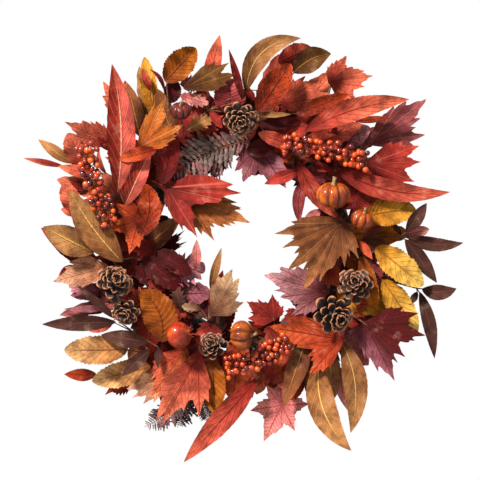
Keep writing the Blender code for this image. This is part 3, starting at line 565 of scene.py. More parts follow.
def tones_of(leaf, along, across):
    """Colour of each point: from base to tip, and from the left half to the right half."""
    base, tip, vein, *right = TONES[leaf["tone"]]
    share = np.clip(along, 0.0, 1.0)[:, None] ** 1.2
    colour = np.array(dye(*base)) * (1 - share) + np.array(dye(*tip)) * share
    if right:
        half = (1.0 / (1.0 + np.exp(-9.0 * across)))[:, None]
        colour = colour * (1 - half) + np.array(dye(*right[0])) * half
    shade = leaf.get("shade", 1.0)
    colour[:, :3] *= shade
    return colour, np.tile(np.array(dye(*vein)) * (shade, shade, shade, 1.0), (len(along), 1))


LEAF_ROWS = 34
HALF_COLUMNS = 6
COARSE_HALF_COLUMNS = 4
# Each form's edge as two powers, where it is widest and how full it is, and its teeth's depth
BLADE_FORMS = {"lance": (0.85, 0.85, 0.05), "oval": (0.90, 0.60, 0.15)}
BLADE_TEETH = 15
BLADE_VEINS = 10.0
# What each leaf's bends are drawn from: a half's slope, then rises in the plan's unit
BLADE_FOLD = (0.16, 0.42)
BLADE_CURL = (-0.4, 0.9)
BLADE_ARCH = (0.2, 0.7)
BLADE_TWIST = (-0.30, 0.30)
# (height, number along the leaf) of the waves in its margin and in its whole length
MARGIN_WAVES = (0.13, 2.6)
LENGTH_WAVES = (0.10, 1.3)


def blade(work, leaf, rng):
    """A lance or oval leaf: rows across the midrib from base to tip, with a toothed edge, a
    folded midrib, raised veins, a curled tip and a wavy margin."""
    base, tip = np.array(leaf["base"], float), np.array(leaf["tip"], float)
    chord = tip - base
    size = float(np.hypot(*chord))
    left = np.array([-chord[1], chord[0]]) / size
    bow = leaf["bow"]
    fine = leaf.get("fine", True)
    rows = LEAF_ROWS if fine and leaf["width"] > 1.2 else LEAF_ROWS // 2
    columns = 2 * (HALF_COLUMNS if fine else COARSE_HALF_COLUMNS) + 1
    t = np.linspace(0.0, 1.0, rows) ** 0.94
    across = np.linspace(-1.0, 1.0, columns)
    across = np.sign(across) * np.abs(across) ** 0.9
    T, S = np.meshgrid(t, across, indexing="ij")
    T, S = T.ravel(), S.ravel()
    widest, fullness, toothed = BLADE_FORMS[leaf["form"]]
    half = 0.5 * leaf["width"] * np.sin(np.pi * T ** widest) ** fullness
    teeth = leaf.get("teeth", toothed)
    saw = (T * leaf.get("tooth_count", BLADE_TEETH)) % 1.0
    half = np.maximum(half, 0.02) * (1.0 + teeth * (saw - 0.5) * np.abs(S) ** 6)
    middle = base + chord * T[:, None] + left * (4.0 * bow * T * (1 - T))[:, None]
    way = chord + left * (4.0 * bow * (1 - 2 * T))[:, None]
    way /= np.hypot(way[:, 0], way[:, 1])[:, None]
    side = np.stack([-way[:, 1], way[:, 0]], axis=1)
    spot = middle + side * (S * half)[:, None] + way * (0.25 * teeth * half * saw * S ** 6)[:, None]
    x, z = planted(spot[:, 0], spot[:, 1])
    phase = rng.uniform(0.0, TURN)
    fold, curl, arch, twist = (rng.uniform(*limits) for limits in (
        BLADE_FOLD, BLADE_CURL, BLADE_ARCH, BLADE_TWIST))
    relief = 0.025 * np.exp(-(S / 0.10) ** 2) * (half > 0.3)
    veins = np.abs(((T * BLADE_VEINS - np.abs(S) * VEIN_CLIMB) % 1.0) - 0.5)
    rise = fold * np.abs(S) ** 1.3 * half + curl * T ** 3 + arch * np.sin(np.pi * T)
    rise += twist * S * half * T
    height, waves = MARGIN_WAVES
    rise += height * half * S ** 2 * np.sin(TURN * waves * T + phase + 1.7 * np.sign(S))
    height, waves = LENGTH_WAVES
    rise += height * min(1.0, size / 8.0) * np.sin(TURN * waves * T + phase)
    rise += relief - 0.05 * veins * (np.abs(S) > 0.05) * np.minimum(half, 1.2)
    depth = shell_depth(leaf["layer"], x, z) + rise * PLAN_UNIT
    front = np.stack([x, -depth, z], axis=1) + np.array(RING_CENTRE)
    grid = [(r * columns + c, r * columns + c + 1, (r + 1) * columns + c + 1, (r + 1) * columns + c)
            for r in range(rows - 1) for c in range(columns - 1)]
    last = (rows - 1) * columns
    rim = list(range(columns)) + [r * columns + columns - 1 for r in range(1, rows)]
    rim += [last + c for c in reversed(range(columns - 1))]
    rim += [r * columns for r in reversed(range(1, rows - 1))]
    points, faces = skin_pair(front, grid, rim)
    uv = np.stack([T, 0.5 + 0.5 * S], axis=1)
    tone, vein = tones_of(leaf, T, -S)
    work.add(points, faces, LEAF_CLOTHS[leaf.get("cloth", "plain")], np.tile(uv, (2, 1)),
             np.tile(tone, (2, 1)), np.tile(vein, (2, 1)))


OPEN_ANGLE = 1.6
LOBE_WIDEST = 0.5
BASE_SHARE = 0.07
# Points on a lobe's sides: (angle off its middle in shoulders, reach, widest place) as shares
SIDE_POINTS = ((0.74, 0.80, 0.55), (1.28, 0.62, 0.42))
SIDE_POINT_WIDTH = 0.09
# (depth, number per radian) of the small teeth round a lobed leaf
FAN_TEETH = (0.025, 61.0)
# Steps from the outer lobes down their free sides, and across the gap at the stalk
OUTER_STEPS = 6
GAP_STEPS = 4
LOBE_BEND = (-0.5, 0.9)
FAN_CURL = (-0.3, 0.7)
FAN_CUP = (0.02, 0.09)
FAN_TILT = (-0.05, 0.05)
# (rows from the base to the edge, steps between two lobes), for shown leaves and for low ones
FINE_FAN = (11, 11)
COARSE_FAN = (7, 7)


def lobes_of(leaf):
    """(angle, length) of each lobe about the leaf's base, in rising order."""
    lobes = []
    for tip in leaf["tips"]:
        arm = (tip[0] - leaf["base"][0], tip[1] - leaf["base"][1])
        angle = math.atan2(arm[1], arm[0])
        if lobes:
            angle = lobes[-1][0] + math.remainder(angle - lobes[-1][0], TURN)
        lobes.append((angle, math.hypot(*arm)))
    lobes.sort()
    if lobes[-1][0] - lobes[0][0] > TURN - OPEN_ANGLE:
        lobes.append((lobes[0][0] + TURN, lobes[0][1]))
    return lobes


def kite(off, length, half, widest=LOBE_WIDEST):
    """Reach of one lobe at angles off its middle."""
    off = np.abs(off)
    reach = half * length / (half + (1.0 - widest) * length * np.tan(np.minimum(off, 1.4)))
    return np.where(off < math.atan2(half, widest * length), reach / np.cos(np.minimum(off, 1.4)), 0.0)


def fan_reach(leaf, angles, lobes):
    """How far a lobed leaf reaches at each angle: web, lobes and the teeth on their sides."""
    reach = np.full(len(angles), BASE_SHARE * max(length for _, length in lobes))
    for (a, la), (b, lb) in zip(lobes, lobes[1:]):
        within = (angles >= a) & (angles <= b)
        reach = np.where(within, np.maximum(reach, (leaf["web"] + 0.08) * min(la, lb)), reach)
    for middle, length in lobes:
        shoulder = math.atan2(leaf["lobe"], LOBE_WIDEST)
        reach = np.maximum(reach, kite(angles - middle, length, 1.25 * leaf["lobe"] * length))
        for sign in (-1.0, 1.0):
            for turn, share, widest in SIDE_POINTS:
                side = middle + sign * turn * shoulder
                reach = np.maximum(reach, kite(angles - side, share * length,
                                               SIDE_POINT_WIDTH * length, widest))
    depth, number = FAN_TEETH
    return reach * (1.0 + leaf.get("teeth", depth) * np.sin(angles * number))


def lobed(work, leaf, rng):
    """A maple or oak leaf: rings of points about its base, out to a toothed outline, with a
    raised vein along each lobe and each lobe bent its own way."""
    base = np.array(leaf["base"], float)
    lobes = lobes_of(leaf)
    first, last = lobes[0][0], lobes[-1][0]
    closed = last - first > TURN - 1e-6
    radial_rows, angle_steps = FINE_FAN if leaf.get("fine", True) else COARSE_FAN
    keys = []
    for (a, _), (b, _) in zip(lobes, lobes[1:]):
        keys += [a + (b - a) * k / angle_steps for k in range(angle_steps)]
    shoulder = math.atan2(leaf["lobe"], LOBE_WIDEST)
    if not closed:
        rest = TURN - (last - first)
        outer = min(1.5 * shoulder, 0.42 * rest)
        before = [first - outer * k / OUTER_STEPS for k in range(OUTER_STEPS, 0, -1)]
        after = [last + outer * k / OUTER_STEPS for k in range(OUTER_STEPS + 1)]
        gap = rest - 2 * outer
        across = [last + outer + gap * k / GAP_STEPS for k in range(1, GAP_STEPS)]
        keys = before + keys + after + across
    angles = np.array(keys)
    reach = fan_reach(leaf, angles, lobes)
    middles = np.array([a for a, _ in lobes])
    lengths = np.array([length for _, length in lobes])
    near = np.argmin(np.abs(angles[:, None] - middles[None, :]), axis=1)
    off = angles - middles[near]
    spread = np.full(len(angles), 0.5 * shoulder + 0.2)
    for k in range(len(lobes) - 1):
        within = (angles >= middles[k]) & (angles <= middles[k + 1])
        spread = np.where(within, 0.5 * (middles[k + 1] - middles[k]), spread)
    cross = np.clip(off / spread, -1.0, 1.0)
    bends = rng.uniform(*LOBE_BEND, len(lobes))
    if closed:
        bends[-1] = bends[0]
    weight = np.exp(-(np.abs(angles[:, None] - middles[None, :]) / (0.7 * shoulder)) ** 2) + 1e-6
    bend = (weight @ bends) / weight.sum(axis=1)
    count = len(angles)
    rho = np.linspace(0.0, 1.0, radial_rows)[1:] ** 0.9
    R, A = np.meshgrid(rho, np.arange(count), indexing="ij")
    R, A = R.ravel(), A.ravel()
    spot = base + (R * reach[A])[:, None] * np.stack([np.cos(angles[A]), np.sin(angles[A])], axis=1)
    spot = np.concatenate([[base], spot])
    R, A = np.concatenate([[0.0], R]), np.concatenate([[0], A])
    x, z = planted(spot[:, 0], spot[:, 1])
    size = lengths.max()
    curl, cup, tilt = (rng.uniform(*limits) for limits in (FAN_CURL, FAN_CUP, FAN_TILT))
    far = R * reach[A] / size
    ridge = 0.03 * np.exp(-(cross[A] / 0.12) ** 2) * (R > 0.02)
    fold = 0.025 * np.abs(cross[A]) * far * size
    rise = fold + ridge + bend[A] * far ** 2 * size * 0.16 + curl * far ** 3 + cup * far * size
    rise += tilt * (spot[:, 0] - base[0])
    rise += 0.13 * np.sin(7.0 * far + 2.0 * angles[A] + bends[0] * 9.0) * R * min(1.0, size / 6.0)
    depth = shell_depth(leaf["layer"], x, z) + rise * PLAN_UNIT
    front = np.stack([x, -depth, z], axis=1) + np.array(RING_CENTRE)
    grid = [(0, 1 + k, 1 + (k + 1) % count) for k in range(count)]
    for r in range(radial_rows - 2):
        low = 1 + r * count
        for k in range(count):
            n = (k + 1) % count
            grid.append((low + k, low + count + k, low + count + n, low + n))
    edge = 1 + (radial_rows - 2) * count
    points, faces = skin_pair(front, grid, list(range(edge, edge + count)))
    uv = np.stack([np.clip(far, 0, 1), 0.5 + 0.5 * cross[A] * np.minimum(1.0, 0.3 + R)], axis=1)
    tone, vein = tones_of(leaf, far, cross[A] * 0.0 + np.sin(angles[A] - 0.5 * (first + last)))
    work.add(points, faces, LEAF_CLOTHS[leaf.get("cloth", "plain")], np.tile(uv, (2, 1)),
             np.tile(tone, (2, 1)), np.tile(vein, (2, 1)))


STEM_STEPS = 6
LEAF_STALK_SAG = 0.001


def add_stem(work, start, end, thin=1.0, thick=1.0, sag=0.0):
    """A taped wire stem, from its thin end to its thick end in shares of a stem's radius."""
    path = []
    for k in range(STEM_STEPS + 1):
        share = k / STEM_STEPS
        point = Vector(start).lerp(Vector(end), share)
        path.append(point + Vector((0.0, -sag * math.sin(math.pi * share), 0.0)))
    work.tube(path, np.linspace(thin, thick, len(path)) * STEM_RADIUS, STEM)


def foot_on_ring(point, turn=0.0):
    """Where a stem from this point goes into the ring's wrapping."""
    local = Vector(point) - RING_CENTRE
    angle = math.atan2(local.z, local.x) + math.radians(turn)
    centre = RING_RADIUS * Vector((math.cos(angle), 0.0, math.sin(angle)))
    toward = (local - centre).normalized()
    return RING_CENTRE + centre + toward * (RING_TUBE - 2.0 * GAP)


# How far along a leaf its stalk starts, as a share of its length
LEAF_START = 0.04
FAN_START = 0.06


def leaf_start(leaf):
    base = Vector(leaf["base"])
    if leaf["form"] == "fan":
        reach = sum((Vector(tip) - base for tip in leaf["tips"]), Vector((0.0, 0.0)))
        return base + FAN_START * reach / len(leaf["tips"])
    return base.lerp(Vector(leaf["tip"]), LEAF_START)


def spray(name, slot, hub, turn, leaves):
    """One node's leaves on their taped wire stems."""
    work = Patchwork()
    rng = np.random.default_rng(sum(ord(letter) for letter in name))
    hub_point = on_layer(hub[2], hub[0], hub[1])
    for leaf in leaves:
        leaf.setdefault("shade", rng.uniform(0.80, 1.12))
        (lobed if leaf["form"] == "fan" else blade)(work, leaf, rng)
        start = on_layer(leaf["layer"], *leaf_start(leaf), forward=-0.6 * STEM_RADIUS)
        add_stem(work, start, hub_point, 0.55, 1.0, LEAF_STALK_SAG)
    add_stem(work, hub_point, foot_on_ring(hub_point, turn), 1.0, 1.5)
    return seated(work.made(name + "_leaves"), "root", slot, name)


# ---- the planting plan: centimetres from the ring's centre, X to the right and Z up

# name: (slot, hub (x, z, layer), turn of the stem's foot in degrees, leaves)
SPRAYS = {
    # left and upper left
    "red_lance_spray_upper_left": ("leaf_red", (-16.4, 4.6, 6.6), 0, [
        lance(7.0, (-17.7, 7.0), (-18.2, 24.5), 3.9, -0.9, tone="brick_salmon"),
        lance(7.0, (-16.7, 5.0), (-13.0, 13.0), 2.6, tone="brick_salmon"),
    ]),
    "autumn_spray_upper_left": ("leaf_tan", (-13.4, 13.2, 3.4), 0, [
        lance(4.0, (-14.6, 14.8), (-16.4, 22.4), 2.6, tone="brown"),
        oval(3.2, (-12.8, 17.8), (-14.0, 26.1), 2.4, tone="gold"),
        lance(4.0, (-13.2, 21.3), (-14.3, 24.4), 1.1, tone="red_salmon"),
        fan(3.0, (-16.5, 17.0), [(-19.9, 22.7), (-16.8, 23.0), (-15.4, 21.4)], 0.16, 0.45,
              tone="salmon"),
    ]),
    "salmon_spray_far_left": ("leaf_salmon", (-18.6, 9.2, 3.0), 0, [
        lance(2.0, (-24.5, 11.2), (-29.3, 14.6), 1.7, tone="tan"),
        lance(2.6, (-25.5, 10.7), (-31.3, 11.9), 0.9, tone="red_salmon"),
        lance(4.0, (-20.8, 9.3), (-26.2, 10.7), 1.7, tone="salmon_orange"),
        oval(3.0, (-22.3, 10.4), (-24.9, 15.4), 3.4, tone="salmon"),
        lance(3.6, (-19.4, 9.6), (-20.4, 13.2), 0.8, 0.5, tone="salmon"),
        fan(4.0, (-18.9, 13.9), [(-18.6, 15.9), (-20.9, 17.1), (-25.0, 16.8), (-23.5, 14.9)],
            0.17, 0.40, tone="salmon"),
        lance(3.6, (-18.8, 12.9), (-20.6, 14.8), 1.2, tone="dark_red"),
    ]),
    "maple_spray_left_inner": ("leaf_red", (-11.0, 7.4, 5.0), 0, [
        fan(5.4, (-10.8, 7.6), [(-10.4, 4.2), (-6.6, 0.7), (-3.0, 5.9), (-0.6, 6.9), (-1.5, 8.1),
                                (-13.0, 8.6)], 0.13, 0.42, tone="crimson"),
        oval(6.2, (-11.5, 8.1), (-9.7, 15.4), 3.0, tone="dark_red"),
        fan(4.0, (-8.1, 6.2), [(-4.3, 0.3), (-2.6, 2.0), (-1.3, 2.6), (0.9, 2.8), (-0.4, 4.6),
                               (-1.1, 5.6)], 0.13, 0.55, tone="tan_shadow"),
    ]),
    "mixed_spray_left_inner": ("leaf_brown", (-13.4, -4.0, 2.8), 0, [
        lance(3.0, (-15.0, -1.6), (-8.9, 3.6), 3.0, tone="brown"),
        fan(2.0, (-12.9, -2.0), [(-8.0, 0.1), (-8.7, 0.7), (-8.3, 1.8)], 0.05, 0.30, tone="maroon"),
        fan(4.0, (-12.0, -6.0), [(-10.0, -6.9), (-10.2, -3.6), (-14.0, -1.5), (-16.0, -3.2)],
            0.22, 0.60, tone="maroon"),
        oval(3.0, (-11.0, -4.2), (-5.5, -3.6), 4.0, tone="mauve", teeth=0.7, tooth_count=6),
        lance(3.6, (-6.8, -4.0), (-6.7, 0.3), 1.4, tone="pink"),
    ]),
    "orange_red_maple_left": ("leaf_salmon", (-14.8, 3.2, 7.4), 0, [
        fan(7.5, (-14.8, 3.2), [(-16.0, -1.6), (-18.9, 1.6), (-18.0, 5.4), (-15.6, 5.6)],
            0.20, 0.50, tone="orange_red"),
    ]),
    "spotted_oval_left": ("leaf_orange", (-14.4, 0.9, 8.0), -8, [
        oval(8.0, (-14.7, 0.9), (-13.8, 8.1), 3.4, -1.0, tone="rust", cloth="spotted"),
    ]),
    "orange_oak_spray_upper_left": ("leaf_orange", (-13.2, 12.7, 7.9), 0, [
        fan(8.0, (-14.3, 13.3), [(-9.6, 14.4), (-8.3, 16.4), (-10.8, 19.9), (-13.7, 16.6)], 0.12, 0.34,
            tone="orange"),
        oval(8.0, (-12.2, 12.9), (-17.4, 11.5), 1.9, tone="orange_red"),
    ]),
    "serrated_spray_top_left": ("leaf_orange", (-10.6, 19.0, 4.6), 0, [
        oval(5.0, (-11.1, 22.5), (-6.7, 27.1), 3.8, tone="gold_brown"),
        oval(4.0, (-10.2, 19.6), (-9.8, 23.0), 2.4, tone="maroon"),
        lance(4.3, (-11.2, 21.2), (-13.3, 24.3), 0.6, -0.5, tone="dark_red"),
    ]),
    "tan_lance_spray_left": ("leaf_tan", (-16.8, -2.4, 6.6), 0, [
        lance(7.0, (-17.0, -2.8), (-24.3, 7.4), 4.2, 0.5, tone="tan"),
        lance(6.2, (-21.0, -1.5), (-27.9, 2.1), 4.0, tone="tan_olive"),
    ]),
    "red_lance_spray_left": ("leaf_red", (-18.0, -3.4, 4.2), 0, [
        lance(4.4, (-19.8, -4.0), (-28.5, 2.0), 3.0, tone="crimson"),
        fan(5.2, (-19.5, -3.6), [(-21.8, -5.7), (-26.7, -5.5), (-24.6, -2.7)], 0.18, 0.50,
              tone="peach"),
        lance(3.2, (-24.0, -3.3), (-26.2, -4.8), 1.2, tone="crimson"),
        oval(3.2, (-23.4, 4.0), (-25.6, 8.2), 2.8, tone="salmon"),
        lance(3.2, (-22.0, 7.5), (-24.4, 8.4), 1.4, tone="dark_red"),
    ]),
    # top
    "mixed_spray_top": ("leaf_red", (-5.0, 18.6, 5.0), 0, [
        lance(4.0, (-5.2, 21.5), (-3.4, 29.1), 2.3, tone="salmon_orange"),
        fan(6.2, (-8.0, 21.6), [(-1.0, 23.5), (-2.1, 25.0)], 0.14, 0.60, tone="olive_brown"),
        oval(5.0, (-2.0, 18.0), (-2.0, 23.0), 4.5, tone="dusty_red", cloth="ribbed"),
        lance(6.3, (0.0, 19.5), (-2.1, 26.7), 1.1, tone="dark_red"),
        lance(5.6, (0.2, 21.0), (0.2, 25.9), 0.9, tone="dark_red"),
        oval(4.8, (-9.0, 20.6), (-5.0, 19.4), 1.8, tone="pink", teeth=0.7, tooth_count=6),
        oval(4.5, (-9.0, 22.2), (-5.6, 22.6), 1.8, tone="pink", teeth=0.7, tooth_count=6),
        oval(5.0, (-4.8, 18.5), (-3.1, 16.0), 1.2, tone="crimson"),
        oval(5.0, (-8.0, 15.8), (-4.4, 17.5), 2.0, tone="tan", teeth=0.7, tooth_count=6),
    ]),
    "tan_lance_spray_top": ("leaf_tan", (3.6, 21.2, 5.0), 0, [
        # Painted shade: the first leaf's dye is dimmed against the strong key light on it
        lance(6.0, (0.3, 21.0), (7.9, 28.3), 3.1, 2.3, tone="tan", shade=0.74),
        oval(4.2, (4.8, 25.2), (9.4, 27.3), 3.0, tone="red_salmon"),
        lance(5.8, (6.9, 23.6), (12.1, 26.2), 3.4, 0.5, tone="olive_brown"),
    ]),
    "spotted_spray_top": ("leaf_orange", (1.3, 18.2, 6.2), 0, [
        oval(7.0, (1.9, 18.2), (6.5, 24.8), 3.8, tone="rust", cloth="spotted"),
        fan(5.0, (5.2, 19.4), [(12.6, 20.6), (10.5, 22.8), (8.5, 23.2)], 0.18, 0.60, tone="salmon"),
        oval(6.0, (7.2, 17.9), (14.4, 20.5), 2.2, tone="rust", cloth="spotted"),
        lance(6.5, (2.2, 17.7), (6.6, 17.9), 0.8, tone="tan"),
    ]),
    "mauve_maple_spray_top_inner": ("leaf_mauve", (3.4, 14.6, 4.6), 0, [
        fan(4.0, (2.0, 13.5), [(5.9, 7.6), (1.9, 10.2), (-0.2, 8.4), (-1.3, 10.0)], 0.20, 0.62,
              tone="deep_mauve"),
        oval(6.0, (6.8, 13.5), (2.0, 15.3), 2.0, tone="red_salmon"),
        oval(5.0, (2.0, 16.5), (8.0, 17.0), 1.8, tone="maroon"),
        oval(5.0, (0.4, 13.0), (4.5, 13.4), 2.6, tone="maroon"),
    ]),
    "red_spray_right_inner": ("leaf_red", (8.6, 10.2, 4.6), 0, [
        lance(5.0, (7.8, 10.0), (2.9, 8.2), 1.8, tone="crimson"),
        lance(4.0, (8.5, 9.0), (7.9, 2.6), 1.8, -0.5, tone="dusty_red"),
        lance(4.2, (10.8, 4.6), (8.2, 2.3), 1.6, tone="pink"),
        lance(5.6, (7.6, 11.5), (13.6, 3.2), 2.4, -0.8, tone="red_salmon"),
        lance(5.6, (9.6, 11.0), (12.2, 10.0), 1.3, tone="brick"),
    ]),
    # right
    "red_maple_top_right": ("leaf_salmon", (12.0, 21.0, 3.8), 0, [
        fan(4.0, (12.2, 22.6), [(15.8, 19.9), (16.9, 21.8), (18.0, 23.3), (17.0, 24.1),
                                (14.4, 26.2), (12.4, 25.3)], 0.20, 0.62, tone="salmon"),
    ]),
    "salmon_lance_right": ("leaf_salmon", (8.8, 15.4, 6.8), 0, [
        lance(7.0, (8.5, 15.5), (22.7, 19.6), 3.2, 0.9, tone="salmon_orange"),
    ]),
    "rose_maple_spray_right": ("leaf_mauve", (16.6, 13.0, 3.8), 0, [
        fan(4.0, (18.2, 14.2), [(25.3, 15.0), (24.2, 16.1), (25.6, 20.1), (21.1, 18.6)],
            0.15, 0.55, tone="dusty_rose"),
        lance(4.6, (15.5, 17.0), (20.6, 17.4), 1.0, tone="rust"),
        oval(3.6, (13.4, 13.8), (17.8, 16.2), 3.0, tone="mauve"),
        fan(5.0, (17.5, 11.0), [(23.8, 8.5), (24.6, 11.2), (24.4, 13.4)], 0.18, 0.60, tone="crimson"),
    ]),
    "red_lance_right": ("leaf_red", (13.2, 10.3, 6.9), 0, [
        lance(7.0, (12.8, 10.4), (28.4, 6.9), 3.0, -1.5, tone="red_salmon"),
    ]),
    "gold_ribbed_oval_right": ("leaf_gold", (16.8, 3.4, 6.0), 0, [
        oval(6.0, (17.0, 3.5), (24.0, 4.3), 4.0, 0.4, tone="gold", cloth="ribbed"),
    ]),
    "creeper_spray_right_upper": ("leaf_brown", (22.0, 0.8, 5.2), 0, [
        lance(7.0, (22.6, 1.3), (25.3, 5.4), 1.9, tone="dark_brown"),
        lance(5.2, (22.8, 0.8), (30.5, -0.1), 2.0, -0.7, tone="dark_brown"),
        lance(5.2, (22.6, 0.4), (27.0, -5.7), 2.2, tone="dark_brown"),
        lance(5.2, (22.1, 1.0), (20.6, 2.9), 0.8, tone="dark_brown"),
        oval(4.4, (22.4, 0.9), (26.0, 1.8), 1.8, tone="pink"),
    ]),
    "creeper_spray_right_lower": ("leaf_brown", (24.3, -6.5, 4.2), 0, [
        lance(4.4, (25.0, -6.6), (29.7, -6.5), 2.2, -0.5, tone="dark_brown"),
        lance(4.4, (24.7, -7.0), (26.7, -16.3), 1.9, 0.3, tone="dark_brown"),
        lance(4.4, (24.4, -7.0), (23.2, -8.8), 1.0, tone="dark_brown"),
        lance(4.4, (24.2, -6.4), (19.5, -4.3), 1.0, tone="dark_brown"),
    ]),
    "yellow_spray_right": ("leaf_gold", (16.9, -2.2, 5.4), 0, [
        oval(6.0, (18.5, -0.7), (25.0, -6.1), 4.0, tone="yellow"),
        oval(5.0, (19.5, -5.3), (24.3, -12.7), 3.6, tone="yellow"),
        oval(5.4, (16.5, -2.0), (18.5, -9.7), 2.4, tone="gold_brown"),
        lance(5.8, (16.2, 0.2), (18.0, -2.4), 1.2, tone="bright_salmon"),
    ]),
    "tan_maple_right": ("leaf_tan", (13.8, 2.4, 7.0), 0, [
        fan(7.0, (13.6, 2.7), [(16.0, -2.3), (14.1, -3.5), (10.8, -5.1), (8.2, -6.9), (6.0, -4.1),
                               (5.4, -0.8), (4.3, 1.2), (7.2, 2.5)], 0.11, 0.46, tone="tan_maple"),
    ]),
    "mauve_maple_right": ("leaf_mauve", (11.7, -7.0, 3.9), 0, [
        fan(4.0, (11.5, -7.0), [(6.7, -10.4), (5.0, -7.8), (2.7, -4.6), (5.0, -3.7),
                                (9.0, -3.4)], 0.17, 0.52, tone="faded_mauve"),
    ]),
    "rose_maple_lower_right": ("leaf_mauve", (16.6, -11.2, 5.8), 0, [
        fan(6.0, (17.1, -11.6), [(14.3, -13.6), (16.9, -16.3), (20.8, -19.1), (22.3, -15.9),
                                 (23.7, -13.7), (25.1, -12.9), (24.1, -9.9)], 0.16, 0.58,
              tone="wine"),
    ]),
    # bottom
    "orange_maple_bottom": ("leaf_orange", (13.4, -13.4, 6.9), 0, [
        fan(7.0, (13.4, -13.6), [(9.0, -18.6), (8.8, -16.0), (3.4, -11.8), (8.8, -10.6)],
            0.15, 0.50, tone="orange_red"),
    ]),
    "brown_lance_spray_bottom": ("leaf_tan", (10.4, -13.4, 5.6), 0, [
        lance(6.2, (10.6, -16.5), (14.8, -28.8), 3.9, -1.8, tone="tan"),
        lance(5.8, (13.7, -14.0), (14.8, -26.5), 3.4, 1.3, tone="tan"),
        lance(5.8, (9.0, -13.0), (5.5, -23.0), 3.0, tone="brown"),
    ]),
    "pink_maple_bottom": ("leaf_salmon", (6.6, -17.0, 4.0), 0, [
        fan(4.0, (5.3, -23.0), [(3.1, -20.2), (0.9, -23.7), (2.8, -27.8), (7.1, -26.5),
                                (9.2, -22.8), (5.0, -19.4)], 0.20, 0.50, tone="pink"),
        oval(4.6, (8.2, -19.0), (6.6, -22.3), 1.8, tone="rust", cloth="spotted"),
        lance(3.6, (12.9, -17.0), (14.6, -23.7), 2.0, tone="pink"),
    ]),
    "red_maple_bottom_inner": ("leaf_red", (4.2, -11.2, 3.9), 0, [
        fan(4.0, (4.3, -10.8), [(5.6, -9.0), (4.0, -7.4), (1.7, -8.5), (0.4, -8.4),
                                (0.5, -10.8)], 0.22, 0.60, tone="crimson"),
    ]),
    "red_lance_bottom": ("leaf_red", (2.0, -18.8, 6.9), 0, [
        lance(7.0, (2.0, -19.0), (-8.3, -30.3), 3.2, tone="red_salmon"),
    ]),
    "salmon_maple_spray_bottom": ("leaf_salmon", (-5.6, -15.8, 6.2), 0, [
        oval(6.0, (-4.5, -16.3), (-4.0, -24.0), 3.4, tone="gold_brown"),
        fan(7.0, (-6.5, -16.0), [(-12.0, -24.2), (-11.2, -24.9), (-6.2, -24.0)], 0.15, 0.36,
              tone="salmon"),
    ]),
    "orange_maple_bottom_left": ("leaf_orange", (-9.0, -15.8, 5.2), 0, [
        fan(6.0, (-8.3, -15.3), [(-13.5, -18.5), (-13.0, -21.5), (-9.6, -20.6)], 0.17, 0.44,
              tone="salmon_rust"),
        fan(5.0, (-10.5, -19.0), [(-16.5, -20.5), (-15.5, -21.7), (-14.1, -22.6)], 0.16, 0.62,
              tone="peach"),
    ]),
    "yellow_spray_lower_left": ("leaf_gold", (-14.2, -15.6, 4.8), 0, [
        oval(6.0, (-16.2, -15.0), (-25.0, -15.0), 4.0, tone="straw"),
        oval(5.0, (-13.1, -17.5), (-21.3, -19.5), 3.6, tone="straw"),
        lance(3.0, (-20.8, -18.8), (-25.4, -18.7), 1.8, tone="rust"),
        oval(2.2, (-15.9, -20.4), (-18.7, -21.2), 1.6, tone="crimson", teeth=0.7, tooth_count=6),
    ]),
    "creeper_spray_left": ("leaf_brown", (-15.6, -12.6, 5.4), 0, [
        lance(6.2, (-17.9, -11.2), (-28.0, -11.4), 2.2, tone="dark_brown"),
        lance(5.4, (-18.0, -10.8), (-23.3, -6.0), 1.2, tone="dark_brown"),
        lance(6.9, (-13.5, -14.0), (-19.9, -12.9), 2.4, tone="dark_brown"),
        lance(6.9, (-13.2, -15.0), (-16.9, -18.6), 1.9, tone="dark_brown"),
        lance(6.9, (-12.0, -14.6), (-12.0, -17.5), 1.0, tone="dark_brown"),
    ]),
    "mauve_spray_left": ("leaf_mauve", (-17.0, -9.4, 2.9), 0, [
        oval(3.2, (-20.3, -7.5), (-24.8, -5.9), 2.4, tone="mauve", teeth=0.7, tooth_count=6),
        lance(3.2, (-19.0, -9.4), (-25.5, -9.5), 1.0, tone="mauve"),
        oval(3.2, (-18.6, -11.4), (-22.1, -12.4), 1.8, tone="crimson"),
    ]),
    "gold_ribbed_oval_left": ("leaf_gold", (-11.8, -13.8, 8.0), 0, [
        oval(8.0, (-11.5, -14.0), (-14.4, -6.8), 4.8, -1.2, tone="gold_rim", cloth="ribbed"),
    ]),
    "brown_maple_spray_inner": ("leaf_brown", (-5.0, -11.0, 4.4), 0, [
        lance(4.4, (-4.8, -6.6), (-3.2, -0.8), 1.2, tone="tan"),
        lance(4.4, (-4.7, -9.6), (-3.0, -4.0), 1.8, tone="red_salmon"),
        fan(5.2, (-4.3, -10.0), [(-0.1, -8.5), (-0.6, -5.1), (-1.7, -3.9)], 0.20, 0.60, tone="beige"),
        oval(5.2, (-6.0, -9.4), (-8.8, -9.0), 1.2, tone="beige", teeth=0.7, tooth_count=6),
        oval(4.4, (-8.8, -9.6), (-9.8, -6.0), 1.8, tone="dark_brown", teeth=0.7, tooth_count=6),
    ]),
}

# name: (x, z, seat layer, radius, turn of the wire's foot)
CONES = {
    "pine_cone_top": (-0.5, 17.0, 7.2, 2.35, 0),
    "pine_cone_left": (-18.0, -5.5, 7.6, 2.5, 0),
    "pine_cone_lower_left": (-16.6, -9.9, 7.2, 1.9, 0),
    "pine_cone_right": (15.4, -5.9, 7.2, 2.4, 0),
    "pine_cone_lower_right": (12.8, -10.3, 7.2, 2.8, 0),
    "pine_cone_bottom": (-4.5, -14.3, 7.2, 1.85, 0),
}
